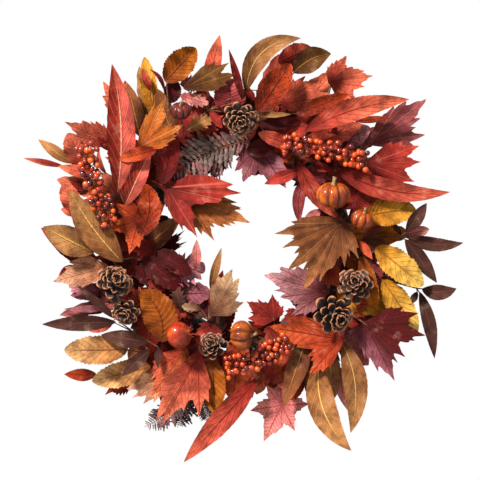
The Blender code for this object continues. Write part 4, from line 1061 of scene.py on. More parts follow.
# name: (x, z, seat layer, radius, stem's lean from up towards the right, lean forwards, foot turn)
GOURDS = {
    "gourd_top_left": (-8.8, 18.2, 7.4, 1.5, 0, 35, 10),
    "gourd_right": (12.4, 6.6, 7.4, 2.35, 0, 15, 5),
    "gourd_right_small": (16.4, 3.2, 7.4, 1.65, 20, 25, 0),
    "gourd_bottom": (-0.3, -13.0, 7.4, 2.1, 90, 10, 0),
    "pomegranate_bottom_left": (-9.0, -12.9, 8.5, 1.9, 75, 20, 0),
}
# name: (berries, points of the stem)
BERRIES = {
    "berry_spray_left": (84, [(-21.8, 13.4), (-21.3, 10.6), (-20.7, 7.2), (-19.4, 4.4),
                              (-18.5, 2.4)]),
    "berry_spray_right": (88, [(17.0, 11.2), (14.6, 12.0), (11.6, 12.6), (8.0, 13.6), (5.4, 13.6)]),
    "berry_spray_bottom": (84, [(-2.6, -17.6), (0.2, -16.9), (3.0, -15.8), (6.2, -14.0)]),
}
BERRY_LAYER = 8.2


# ---- what repeats: geometry node trees, each run once and kept as a plain mesh

# The kind of input for each kind of size; a size without a value is an object or a cloth
SOCKETS = {int: "NodeSocketInt", float: "NodeSocketFloat", type(None): "NodeSocketObject",
           "Cloth": "NodeSocketMaterial"}


class Grower:
    """A geometry node tree with named sizes, grown from a seed mesh."""

    def __init__(self, name, **sizes):
        self.group = bpy.data.node_groups.new(name, "GeometryNodeTree")
        face = self.group.interface
        face.new_socket("Geometry", in_out="INPUT", socket_type="NodeSocketGeometry")
        self.sizes = sizes
        for label, size in sizes.items():
            face.new_socket(label, in_out="INPUT", socket_type=SOCKETS.get(label, SOCKETS[type(size)]))
        face.new_socket("Geometry", in_out="OUTPUT", socket_type="NodeSocketGeometry")
        self.tree = Nodes(self.group)
        self.start = self.group.nodes.new("NodeGroupInput")
        self.end = self.group.nodes.new("NodeGroupOutput")

    def given(self, label):
        return Value(self.tree, self.start.outputs[label])

    def make(self, kind, inputs=None, output=0, **settings):
        return self.tree.node(kind, settings, inputs, output)

    def chance(self, low, high, seed=0):
        """A random number for each point, the same on every run."""
        return self.make("FunctionNodeRandomValue", {2: low, 3: high, "Seed": seed}, 1,
                         data_type="FLOAT")

    def object(self, label):
        return self.make("GeometryNodeObjectInfo", {"Object": self.given(label)}, "Geometry")

    def join(self, *pieces):
        joined = self.group.nodes.new("GeometryNodeJoinGeometry")
        for piece in pieces:
            self.group.links.new(piece.socket, joined.inputs[0])
        return Value(self.tree, joined.outputs[0])

    def keep(self, geometry, label, value, domain="INSTANCE"):
        return self.make("GeometryNodeStoreNamedAttribute",
                         {"Geometry": geometry, "Name": label, "Value": value},
                         data_type="FLOAT", domain=domain)

    def close(self, geometry, material, other=None, where=None):
        """Ends the tree: real geometry, its finish, and a second finish where that is asked."""
        geometry = self.make("GeometryNodeRealizeInstances", {"Geometry": geometry})
        geometry = self.make("GeometryNodeSetMaterial",
                             {"Geometry": geometry, "Material": material})
        if other:
            mask = self.make("GeometryNodeInputNamedAttribute", {"Name": where},
                             data_type="FLOAT")
            mask = self.make("FunctionNodeCompare", {0: mask, 1: 0.5}, data_type="FLOAT",
                             operation="GREATER_THAN")
            geometry = self.make("GeometryNodeSetMaterial", {
                "Geometry": geometry, "Selection": mask, "Material": other})
        self.group.links.new(geometry.socket, self.end.inputs[0])
        return self

    def grow(self, name, seed, place=None, **sizes):
        """Runs the tree on a seed mesh, with these sizes in place of its own."""
        host = bpy.data.objects.new(name + "_seed", seed)
        bpy.context.scene.collection.objects.link(host)
        modifier = host.modifiers.new("grow", "NODES")
        modifier.node_group = self.group
        for item in self.group.interface.items_tree:
            if item.in_out == "INPUT" and item.name in self.sizes:
                modifier[item.identifier] = sizes.get(item.name, self.sizes[item.name])
        graph = bpy.context.evaluated_depsgraph_get()
        mesh = bpy.data.meshes.new_from_object(host.evaluated_get(graph), depsgraph=graph)
        host.modifiers.remove(modifier)
        bpy.data.objects.remove(host)
        if place:
            mesh.transform(place)
        mesh.name = name
        mesh.polygons.foreach_set("use_smooth", [True] * len(mesh.polygons))
        piece = bpy.data.objects.new(name, mesh)
        bpy.context.scene.collection.objects.link(piece)
        outward(piece)
        return piece


def plain_mesh(name, points, faces, **values):
    """A mesh with one number for each point under each of these names."""
    mesh = bpy.data.meshes.new(name)
    mesh.from_pydata([tuple(point) for point in points], [], faces)
    for label, numbers in values.items():
        attribute = mesh.attributes.new(label, "FLOAT", "POINT")
        attribute.data.foreach_set("value", list(numbers))
    mesh.update()
    return mesh


def pattern(name, mesh):
    """A small shape that a tree repeats. It isn't shown itself."""
    shape = bpy.data.objects.new(name, mesh)
    bpy.context.scene.collection.objects.link(shape)
    edit = bmesh.new()
    edit.from_mesh(mesh)
    bmesh.ops.recalc_face_normals(edit, faces=edit.faces)
    edit.to_mesh(mesh)
    edit.free()
    return shape


def slab(columns, rows, place, thickness):
    """A closed plate on a grid: place(u, v) gives a front point, thickness(u, v) its depth."""
    front, back = [], []
    for r in range(rows):
        for c in range(columns):
            u, v = r / (rows - 1), 2.0 * c / (columns - 1) - 1.0
            point = Vector(place(u, v))
            front.append(point)
            back.append(point - Vector((0.0, 0.0, thickness(u, v))))
    number = len(front)
    faces = []
    for r in range(rows - 1):
        for c in range(columns - 1):
            a = r * columns + c
            face = (a, a + 1, a + columns + 1, a + columns)
            faces.append(face)
            faces.append(tuple(number + i for i in reversed(face)))
    last = (rows - 1) * columns
    rim = list(range(columns)) + [r * columns + columns - 1 for r in range(1, rows)]
    rim += [last + c for c in reversed(range(columns - 1))]
    rim += [r * columns for r in reversed(range(1, rows - 1))]
    for i, j in zip(rim, rim[1:] + rim[:1]):
        faces.append((i, number + i, number + j, j))
    shares = [r / (rows - 1) for r in range(rows) for _ in range(columns)]
    return front + back, faces, shares * 2


def turned_rows(profile, segments, ribs=0, rib_depth=0.0, wobble=0.0):
    """Points and faces of a closed body about Z from (radius, height) pairs, and how deep each
    point lies in a groove."""
    points, grooves, faces = [Vector((0, 0, profile[0][1]))], [0.0], []
    for radius, height in profile[1:-1]:
        for k in range(segments):
            angle = TURN * k / segments
            groove = (0.5 - 0.5 * math.cos(ribs * angle)) ** 4 if ribs else 0.0
            r = radius * (1.0 - rib_depth * groove)
            r *= 1.0 + wobble * math.sin(2.0 * angle + 5.0 * height)
            points.append(Vector((r * math.cos(angle), r * math.sin(angle), height)))
            grooves.append(groove)
    points.append(Vector((0, 0, profile[-1][1])))
    grooves.append(0.0)
    count = len(profile) - 2
    for k in range(segments):
        n = (k + 1) % segments
        faces.append((0, 1 + n, 1 + k))
        for r in range(count - 1):
            low = 1 + r * segments
            faces.append((low + k, low + n, low + segments + n, low + segments + k))
        top = 1 + (count - 1) * segments
        faces.append((top + k, top + n, len(points) - 1))
    return points, faces, grooves


# ---- pine cones

def cone_grower():
    """Scales set round a core by the golden angle, from wide flat ones to upright ones."""
    cone = Grower("cone_scales", Scales=34, Size=0.024, Seed=1, Scale=None)
    count, size = cone.given("Scales"), cone.given("Size")
    index = cone.make("GeometryNodeInputIndex")
    share = index / (count - 1.0)
    angle = index * GOLDEN_ANGLE
    lean = (share ** 1.1) * 1.12 + 0.10 + cone.chance(-0.20, 0.20, cone.given("Seed"))
    out = size * (0.26 - share * 0.22)
    height = size * (share * 0.86 - 0.46)
    place = cone.tree.join(out * angle.cosine(), out * angle.sine(), height)
    points = cone.make("GeometryNodePoints", {"Count": count, "Position": place})
    angle = angle + cone.chance(-0.16, 0.16, cone.given("Seed") + 5)
    turn = cone.tree.join(cone.chance(-0.30, 0.30, cone.given("Seed") + 1), lean * -1.0, angle)
    length = size * (0.78 - share * 0.40) * cone.chance(0.90, 1.06, cone.given("Seed") + 2)
    scales = cone.make("GeometryNodeInstanceOnPoints", {
        "Points": points, "Instance": cone.object("Scale"), "Rotation": turn,
        "Scale": cone.tree.join(length, length, length)})
    return cone.close(cone.join(cone.given("Geometry"), scales), CONE)


def scale_shape():
    """One scale: a narrow foot, a wide lip that turns over, and a raised point on the lip."""
    def place(u, v):
        width = 0.09 + 0.25 * math.sin(0.5 * math.pi * min(1.0, u / 0.84)) ** 1.8
        width *= 1.0 - 0.45 * max(0.0, (u - 0.80) / 0.20) ** 2
        turn_over = 0.16 * max(0.0, u - 0.55) ** 1.3
        boss = 0.06 * max(0.0, 1.0 - abs(u - 0.88) / 0.14) * (1.0 - abs(v))
        return (u, v * width, 0.16 * v * v * u - turn_over + boss)

    def thickness(u, _):
        return 0.04 + 0.05 * max(0.0, (u - 0.6) / 0.4)

    points, faces, shares = slab(5, 6, place, thickness)
    lips = []
    for k, share in enumerate(shares):
        edge = abs(k % 5 - 2) / 2
        lips.append(max(share ** 9, 0.9 * edge ** 3 * max(0.0, (share - 0.55) / 0.45) ** 0.7))
    return pattern("scale_shape", plain_mesh("scale_shape", points, faces, lip=lips))


def facing(centre, lean=0.0, forward=0.0, turn=0.0):
    """Stands a shape made about +Z with its top towards the viewer, then leans it."""
    tilt = Matrix.Rotation(lean, 4, "Z") @ Matrix.Rotation(forward, 4, "X")
    return (Matrix.Translation(centre) @ tilt @ Matrix.Rotation(math.pi / 2, 4, "X")
            @ Matrix.Rotation(turn, 4, "Z"))


def add_pick(work, seat, centre, turn):
    """The wire pick that holds a cone or gourd to the ring."""
    add_stem(work, centre, foot_on_ring(seat, turn), PICK_THICKNESS, PICK_THICKNESS)


def merged(name, *pieces):
    """One object from several."""
    edit = bmesh.new()
    materials = []
    for piece in pieces:
        start = len(edit.faces)
        edit.from_mesh(piece.data)
        edit.faces.ensure_lookup_table()
        slots = []
        for material in piece.data.materials:
            if material not in materials:
                materials.append(material)
            slots.append(materials.index(material))
        for face in edit.faces[start:]:
            face.material_index = slots[min(face.material_index, len(slots) - 1)]
            face.smooth = True
    mesh = bpy.data.meshes.new(name)
    edit.to_mesh(mesh)
    edit.free()
    for piece in pieces:
        bpy.data.objects.remove(piece)
    for material in materials:
        mesh.materials.append(material)
    whole = bpy.data.objects.new(name, mesh)
    bpy.context.scene.collection.objects.link(whole)
    return whole


# The solid middle of a cone, as (radius, height) in shares of the cone's size
CONE_CORE = ((0.0, -0.52), (0.30, -0.50), (0.40, -0.30), (0.34, 0.0), (0.20, 0.30), (0.08, 0.50),
             (0.0, 0.56))
CORE_SEGMENTS = 16
# A cone's size for its radius on the plan, and how far its middle stands off its seat
CONE_SIZE = 1.12
CONE_STAND = 0.55
CONE_LEAN = 0.30
CONE_NOD = 0.34


def pine_cones():
    cone, scale = cone_grower(), scale_shape()
    for number, (name, (x, z, layer, radius, turn)) in enumerate(CONES.items()):
        size = CONE_SIZE * radius * PLAN_UNIT
        seat = on_layer(layer, x, z)
        centre = seat - Vector((0.0, CONE_STAND * size, 0.0))
        profile = [(r * size, h * size) for r, h in CONE_CORE]
        points, faces, _ = turned_rows(profile, CORE_SEGMENTS)
        core = plain_mesh(name + "_core", points, faces, lip=[0.0] * len(points))
        place = facing(centre, CONE_LEAN * math.sin(2.0 * number), CONE_NOD * math.cos(3.0 * number))
        scales = cone.grow(name + "_scales", core, place, Size=size, Seed=7 * number, Scale=scale)
        pick = Patchwork()
        add_pick(pick, seat, centre, turn)
        whole = merged(name + "_open", scales, pick.made(name + "_pick"))
        seated(whole, "root", "cone", name)
    bpy.data.objects.remove(scale)


# ---- gourds and the pomegranate

GOURD_SEGMENTS = 96
GOURD_RIBS = 8
GOURD_GROOVE = 0.15
GOURD_WOBBLE = 0.02
STALK_STEPS = 12
POMEGRANATE_SEGMENTS = 60
POMEGRANATE_FACETS = 6
POMEGRANATE_GROOVE = 0.05
POMEGRANATE_WOBBLE = 0.015
CALYX_POINTS = 6


def bulb_profile(size, rows=26, shoulder=0.70, floor=-0.76):
    """(radius, height) pairs of a squat round body with a dimple at each end."""
    pairs = []
    for k in range(rows + 1):
        t = math.pi * k / rows
        radius = max(0.0, math.sin(t)) ** 0.80
        height = -math.cos(t) * (-floor if k < rows / 2 else shoulder)
        height += 0.22 * math.exp(-(radius / 0.26) ** 2) * (1 if k < rows / 2 else -1)
        pairs.append((size * radius, size * height))
    return pairs


def pumpkin(work, skin, centre, size, tilt, number):
    points, faces, grooves = turned_rows(bulb_profile(size), GOURD_SEGMENTS, GOURD_RIBS,
                                         GOURD_GROOVE, GOURD_WOBBLE)
    # Groove depth goes in as the 'tone'; the skin paints shade into the grooves with it
    work.add([centre + tilt @ point for point in points], faces, skin,
             tone=np.array([[groove] * 3 + [1.0] for groove in grooves]))
    path, radii = [], []
    for share in np.linspace(0.0, 1.0, STALK_STEPS).tolist():
        bend = 0.16 * size * share ** 2
        height = size * (0.42 + 0.60 * share)
        path.append(centre + tilt @ Vector((bend * math.cos(number), bend * math.sin(number), height)))
        radii.append(size * (0.20 - 0.09 * math.sin(0.5 * math.pi * min(1.0, share * 1.5))
                             + 0.035 * max(0.0, share - 0.85) / 0.15))
    work.tube(path, radii, STALK, 9)


def pomegranate(work, skin, centre, size, tilt):
    profile = []
    for k in range(25):
        t = math.pi * k / 24
        radius = max(0.0, math.sin(t)) ** 0.92
        if k > 19:
            radius = max(radius * 0.8, 0.26 if k < 24 else 0.0)
        profile.append((size * radius, size * -0.86 * math.cos(t)))
    points, faces, grooves = turned_rows(profile, POMEGRANATE_SEGMENTS, POMEGRANATE_FACETS,
                                         POMEGRANATE_GROOVE, POMEGRANATE_WOBBLE)
    # Groove depth goes in as the 'tone'; the skin paints a little shade into the grooves with it
    work.add([centre + tilt @ point for point in points], faces, skin,
             tone=np.array([[0.4 * groove] * 3 + [1.0] for groove in grooves]))
    for k in range(CALYX_POINTS):
        angle = TURN * k / CALYX_POINTS
        out = Vector((math.cos(angle), math.sin(angle), 0.0))
        side = Vector((-out.y, out.x, 0.0))
        points, faces, _ = slab(5, 5, lambda u, v: out * (0.24 + 0.16 * u * u)
                                + side * (v * 0.14 * (1.0 - u) ** 0.7)
                                + Vector((0.0, 0.0, 0.74 + 0.36 * u)), lambda u, v: 0.05)
        work.add([centre + tilt @ (point * size) for point in points], faces, skin,
                 tone=np.zeros((len(points), 4)))


def gourds():
    for number, (name, row) in enumerate(GOURDS.items()):
        x, z, layer, radius, lean, forward, turn = row
        size = radius * PLAN_UNIT
        seat = on_layer(layer, x, z)
        centre = seat - Vector((0.0, size, 0.0))
        tilt = (Matrix.Rotation(math.radians(lean), 3, "Y")
                @ Matrix.Rotation(math.radians(forward), 3, "X"))
        work = Patchwork()
        if name.startswith("pomegranate"):
            pomegranate(work, GOURD_SKINS[name], centre, size, tilt)
        else:
            pumpkin(work, GOURD_SKINS[name], centre, size, tilt, number)
        add_pick(work, seat, centre, turn)
        seated(work.made(name + "_ripe"), "root", "gourd", name)


# ---- berries

def berry_grower():
    """Berries on short twigs, set round a stem by the golden angle."""
    spray = Grower("berries_on_twigs", Berries=70, Reach=0.0132, Size=0.0041, Seed=1,
                   Berry=None, Twig=None)
    seed = spray.given("Seed")
    curve = spray.make("GeometryNodeMeshToCurve", {"Mesh": spray.given("Geometry")})
    curve = spray.make("GeometryNodeResampleCurve", {"Curve": curve,
                                                     "Count": spray.given("Berries")})
    tangent = spray.make("GeometryNodeInputTangent")
    side = spray.tree.vector("NORMALIZE", spray.tree.vector("CROSS_PRODUCT", tangent,
                                                            (0.0, 1.0, 0.0)))
    index = spray.make("GeometryNodeInputIndex")
    angle = index * GOLDEN_ANGLE + spray.chance(-0.4, 0.4, seed)
    front = (angle.sine() + 1.0) * -0.42
    arm = spray.tree.scaled(side, angle.cosine())
    arm = spray.tree.vector("ADD", arm, spray.tree.join(0.0, front, 0.0))
    along = spray.tree.scaled(tangent, spray.chance(-0.35, 0.55, seed + 3))
    arm = spray.tree.vector("ADD", arm, along)
    reach = spray.given("Reach") * spray.chance(0.45, 1.12, seed + 4)
    offset = spray.tree.scaled(arm, reach)
    length = spray.tree.vector("LENGTH", offset, output="Value")
    aim = spray.make("FunctionNodeAlignRotationToVector", {"Vector": offset}, axis="Z")
    twigs = spray.make("GeometryNodeInstanceOnPoints", {
        "Points": curve, "Instance": spray.object("Twig"), "Rotation": aim,
        "Scale": spray.tree.join(1.0, 1.0, length)})
    tips = spray.make("GeometryNodeSetPosition", {"Geometry": curve, "Offset": offset})
    size = spray.given("Size") * spray.chance(0.86, 1.12, seed + 5)
    turn = spray.tree.join(spray.chance(-1.2, 1.2, seed + 6), spray.chance(-1.2, 1.2, seed + 7),
                           spray.chance(0.0, TURN, seed + 8))
    berries = spray.make("GeometryNodeInstanceOnPoints", {
        "Points": tips, "Instance": spray.object("Berry"), "Rotation": turn,
        "Scale": spray.tree.join(size, size, size)})
    berries = spray.keep(berries, "ripe", spray.chance(0.0, 1.0, seed + 9))
    return spray.close(spray.join(twigs, berries), BERRY, STEM, "wood")


def berry_shape():
    profile = []
    for k in range(8):
        t = math.pi * k / 7
        profile.append((max(0.0, math.sin(t)) ** 0.95, -math.cos(t) * 1.04 - (0.10 if k == 7 else 0.0)))
    points, faces, _ = turned_rows(profile, 9)
    eyes = [max(0.0, point.z) ** 3 for point in points]
    return pattern("berry_shape", plain_mesh("berry_shape", points, faces, eye=eyes,
                                             wood=[0.0] * len(points)))


def twig_shape():
    points, faces, _ = turned_rows([(0.0, 0.0), (0.00075, 0.0), (0.0005, 0.5), (0.0006, 0.98),
                                    (0.0, 1.0)], 6)
    return pattern("twig_shape", plain_mesh("twig_shape", points, faces, wood=[1.0] * len(points)))


def berry_sprays():
    spray, berry, twig = berry_grower(), berry_shape(), twig_shape()
    for number, (name, (count, stem)) in enumerate(BERRIES.items()):
        line = [on_layer(BERRY_LAYER, *point) for point in stem]
        seed = bpy.data.meshes.new(name + "_line")
        seed.from_pydata(line, [(k, k + 1) for k in range(len(line) - 1)], [])
        cluster = spray.grow(name + "_cluster", seed, Berries=count, Seed=20 + number,
                             Berry=berry, Twig=twig)
        work = Patchwork()
        work.tube(line, [1.1 * STEM_RADIUS] * len(line), STEM)
        middle = line[len(line) // 2]
        add_stem(work, middle, foot_on_ring(middle), PICK_THICKNESS, PICK_THICKNESS)
        whole = merged(name + "_waxed", cluster, work.made(name + "_stem"))
        seated(whole, "root", "berry", name)
    bpy.data.objects.remove(berry)
    bpy.data.objects.remove(twig)


# ---- ferns

def fern_grower():
    """Toothed leaflets in pairs along a midrib, longest below its middle."""
    frond = Grower("fern_leaflets", Pairs=18, Length=0.032, Seed=1, Leaflet=None, Cloth=None)
    seed = frond.given("Seed")
    curve = frond.make("GeometryNodeMeshToCurve", {"Mesh": frond.given("Geometry")})
    curve = frond.make("GeometryNodeResampleCurve", {"Curve": curve,
                                                     "Count": frond.given("Pairs")})
    tangent = frond.make("GeometryNodeInputTangent")
    share = frond.make("GeometryNodeSplineParameter")
    side = frond.tree.vector("NORMALIZE", frond.tree.vector("CROSS_PRODUCT", tangent,
                                                            (0.0, 1.0, 0.0)))
    halves = []
    for hand in (-1.0, 1.0):
        arm = frond.tree.scaled(side, hand)
        along = frond.tree.scaled(tangent, frond.chance(0.35, 0.75, seed + 2))
        arm = frond.tree.vector("ADD", frond.tree.vector("ADD", arm, along),
                                frond.tree.join(0.0, frond.chance(-0.35, 0.12, seed + 4), 0.0))
        aim = frond.make("FunctionNodeAlignRotationToVector", {"Vector": arm}, axis="X")
        aim = frond.make("FunctionNodeAlignRotationToVector", {
            "Rotation": aim, "Vector": (0.0, -1.0, 0.0)}, axis="Z", pivot_axis="X")
        length = frond.given("Length") * (share * 3.0 + 0.25).sine() ** 0.6
        length = length * frond.chance(0.78, 1.08, seed + int(3 + hand))
        halves.append(frond.make("GeometryNodeInstanceOnPoints", {
            "Points": curve, "Instance": frond.object("Leaflet"), "Rotation": aim,
            "Scale": frond.tree.join(length, length, length)}))
    return frond.close(frond.join(*halves), frond.given("Cloth"))


def leaflet_shape():
    """A leaflet cut into points along both edges."""
    rows = 9

    def place(u, v):
        width = 0.12 * math.sin(math.pi * min(1.0, 0.06 + u)) ** 0.7 + 0.012
        point = 1.0 if round(u * (rows - 1)) % 2 else 0.55
        lift = 0.10 * u * u + 0.03 * abs(v)
        return (u + 0.05 * abs(v) * point, v * width * (point if abs(v) > 0.9 else 1.0), lift)

    points, faces, shares = slab(3, rows, place, lambda u, v: 0.014)
    return pattern("leaflet_shape", plain_mesh("leaflet_shape", points, faces, lip=shares))


# name: (hub (x, z, layer), fronds as (layer, base, tip, bow, leaflet length, pairs))
FERNS = {
    "fern_frond_top_inner": ((-0.6, 13.6, 3.6), [
        (4.2, (0.6, 14.4), (-11.0, 9.0), -0.6, 3.5, 21),
        (3.4, (-1.0, 13.6), (-8.4, 7.8), 0.3, 2.2, 16),
    ]),
    "fern_frond_bottom": ((-7.4, -19.0, 3.8), [
        (4.0, (-7.3, -19.6), (-14.0, -26.0), 0.9, 2.3, 30),
        (4.0, (-6.8, -19.8), (-4.9, -25.2), 0.0, 2.0, 26),
        (3.4, (-7.2, -19.8), (-9.4, -26.2), 0.0, 2.3, 26),
    ]),
}


def ferns():
    frond, leaflet = fern_grower(), leaflet_shape()
    for number, (name, (hub, fronds)) in enumerate(FERNS.items()):
        cloth = DARK_FERN if name.endswith("bottom") else FERN
        pieces = []
        work = Patchwork()
        hub_point = on_layer(hub[2], hub[0], hub[1])
        for k, (layer, base, tip, bow, length, pairs) in enumerate(fronds):
            start, end = np.array(base), np.array(tip)
            chord = end - start
            left = np.array([-chord[1], chord[0]]) / np.hypot(*chord)
            line = []
            for t in np.linspace(0.0, 1.0, 16):
                spot = start + chord * t + left * (4.0 * bow * t * (1 - t))
                line.append(on_layer(layer, spot[0], spot[1], 0.004 * math.sin(math.pi * t)))
            seed = bpy.data.meshes.new(f"{name}_midrib_{k}")
            seed.from_pydata(line, [(i, i + 1) for i in range(len(line) - 1)], [])
            pieces.append(frond.grow(f"{name}_leaflets_{k}", seed, Pairs=pairs,
                                     Length=length * PLAN_UNIT, Seed=40 + 3 * number + k,
                                     Leaflet=leaflet, Cloth=cloth))
            work.tube(line, np.linspace(0.9, 0.35, len(line)) * STEM_RADIUS, STEM)
            add_stem(work, line[0], hub_point)
        add_stem(work, hub_point, foot_on_ring(hub_point), PICK_THICKNESS, PICK_THICKNESS)
        whole = merged(name + "_pressed", *pieces, work.made(name + "_stems"))
        seated(whole, "root", "fern", name)
    bpy.data.objects.remove(leaflet)


# ---- the ring and its wires

RING_STEPS = 216
RING_SIDES = 20
# Laps of the ribbon round the ring, and its ridges and ripples as shares of the tube
RIBBON_LAPS = 18.0
LAP_RIDGE = 0.05
RIBBON_RIPPLE = 0.02
BAND_STEPS = 72
EYE_STEPS = 36
LOOP_BEND = 0.006
LOOP_BEND_STEPS = 11
# The hanging loop's width at its top, as a share of its width at the eye
LOOP_TAPER = 0.7


def ring_piece():
    """The ring in its moss ribbon: ridged where the ribbon laps, with loose fibres."""
    moss = Grower("moss_fibres", Density=11000.0, Length=0.008, Seed=1, Fibre=None)
    seed = moss.given("Seed")
    torus = moss.given("Geometry")
    points = moss.make("GeometryNodeDistributePointsOnFaces", {
        "Mesh": torus, "Density": moss.given("Density"), "Seed": seed})
    spread = moss.group.nodes[-1].outputs["Rotation"]
    tilt = moss.make("FunctionNodeRotateRotation", {
        "Rotation": Value(moss.tree, spread),
        "Rotate By": moss.tree.join(moss.chance(-1.3, 1.3, seed + 1),
                                    moss.chance(-1.3, 1.3, seed + 2),
                                    moss.chance(0.0, TURN, seed + 3))}, rotation_space="LOCAL")
    size = moss.given("Length") * moss.chance(0.5, 1.2, seed + 4)
    fibres = moss.make("GeometryNodeInstanceOnPoints", {
        "Points": points, "Instance": moss.object("Fibre"), "Rotation": tilt,
        "Scale": moss.tree.join(size, size, size)})
    moss.close(moss.join(torus, fibres), MOSS)
    points, faces = [], []
    for k in range(RING_STEPS):
        angle = TURN * k / RING_STEPS
        for s in range(RING_SIDES):
            turn = TURN * s / RING_SIDES
            lap = abs(((RIBBON_LAPS * angle + turn) / TURN) % 1.0 - 0.5)
            ripple = math.sin(7.0 * turn + 31.0 * angle)
            tube = RING_TUBE * (1.0 - LAP_RIDGE + LAP_RIDGE * lap + RIBBON_RIPPLE * ripple)
            out = RING_RADIUS + tube * math.cos(turn)
            points.append(RING_CENTRE + Vector((out * math.cos(angle), tube * math.sin(turn),
                                                out * math.sin(angle))))
            low, high = k * RING_SIDES, (k + 1) % RING_STEPS * RING_SIDES
            n = (s + 1) % RING_SIDES
            faces.append((low + s, low + n, high + n, high + s))
    fibre = pattern("fibre_shape", plain_mesh("fibre_shape", *turned_rows(
        [(0.0, 0.0), (0.035, 0.02), (0.05, 0.35), (0.04, 0.7), (0.0, 1.0)], 4)[:2]))
    whole = moss.grow("moss_wrapped_ring", plain_mesh("ring_body", points, faces), Fibre=fibre)
    bpy.data.objects.remove(fibre)
    seated(whole, "root", "ring_wrap", "wrapped_ring")


def wire_round(work, points, radius, sides=12):
    """A closed wire through points that go round."""
    count = len(points)
    rings, faces = [], []
    centre = sum(points, Vector()) / count
    normal = (points[0] - centre).cross(points[count // 4] - centre).normalized()
    for k, point in enumerate(points):
        along = (points[(k + 1) % count] - points[k - 1]).normalized()
        across = along.cross(normal).normalized()
        for s in range(sides):
            angle = TURN * s / sides
            rings.append(point + radius * (across * math.cos(angle) + normal * math.sin(angle)))
    for k in range(count):
        low, high = k * sides, (k + 1) % count * sides
        for s in range(sides):
            n = (s + 1) % sides
            faces.append((low + s, low + n, high + n, high + s))
    work.add(rings, faces, WIRE)


def circle(centre, radius, steps):
    """Points round a circle about X."""
    return [centre + radius * Vector((0.0, math.cos(TURN * k / steps), math.sin(TURN * k / steps)))
            for k in range(steps)]


def wires():
    loop_low, loop_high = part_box("hanging_loop")
    band_low, band_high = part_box("band_wire_with_eye")
    wire = (loop_high.y - loop_low.y) / 2
    drop = loop_high.z - loop_low.z - 2 * wire
    half = (loop_high.x - loop_low.x) / 2 - wire
    eye_radius = band_high.y - wire
    band_radius = RING_CENTRE.y - band_low.y - wire
    top = RING_CENTRE + Vector((0.0, 0.0, RING_RADIUS))
    band = Patchwork()
    wire_round(band, circle(top, band_radius, BAND_STEPS), wire)
    wire_round(band, circle(Vector((0.0, 0.0, top.z)), eye_radius, EYE_STEPS), wire)
    seated(band.made("band_wire_twisted"), "root", "wire", "band_wire_with_eye")
    loop = Patchwork()
    corners = [(-half, 0.0), (half, 0.0), (half * LOOP_TAPER, drop), (-half * LOOP_TAPER, drop)]
    points = []
    for k, corner in enumerate(corners):
        here = Vector((corner[0], 0.0, corner[1]))
        before = Vector((corners[k - 1][0], 0.0, corners[k - 1][1]))
        after = Vector((corners[(k + 1) % 4][0], 0.0, corners[(k + 1) % 4][1]))
        start = here + (before - here).normalized() * LOOP_BEND
        end = here + (after - here).normalized() * LOOP_BEND
        for share in np.linspace(0.0, 1.0, LOOP_BEND_STEPS):
            points.append(start.lerp(here, share).lerp(here.lerp(end, share), share)
                          - Vector((0.0, 0.0, drop)))
    wire_round(loop, points, wire)
    seated(loop.made("hanging_loop_bent"), "hanging_loop", "wire", "hanging_loop")


# ---- leaves planted low, between the sprays

LOW_TONES = ("maroon", "dark_red", "dark_brown", "brown", "brick", "rust", "tan_shadow", "maroon",
             "dark_red", "crimson")
LOW_LEAVES = 72
BETWEEN_TONES = ("red_salmon", "brick", "crimson", "salmon", "rust", "dusty_red", "orange_red",
                 "brown", "dark_red")
# Rounds of small lobed leaves: (count, distance out, spread, shortest, longest, layers)
BETWEEN_ROUNDS = [
    (27, 15.6, 0.6, 5.6, 7.6, 2.0, 3.4),
    (22, 17.0, 1.2, 3.6, 4.8, 3.8, 4.8),
    (16, 12.6, 1.2, 3.0, 4.0, 3.6, 4.4),
    (26, 16.1, 0.9, 4.0, 5.4, -0.9, 0.6),
]

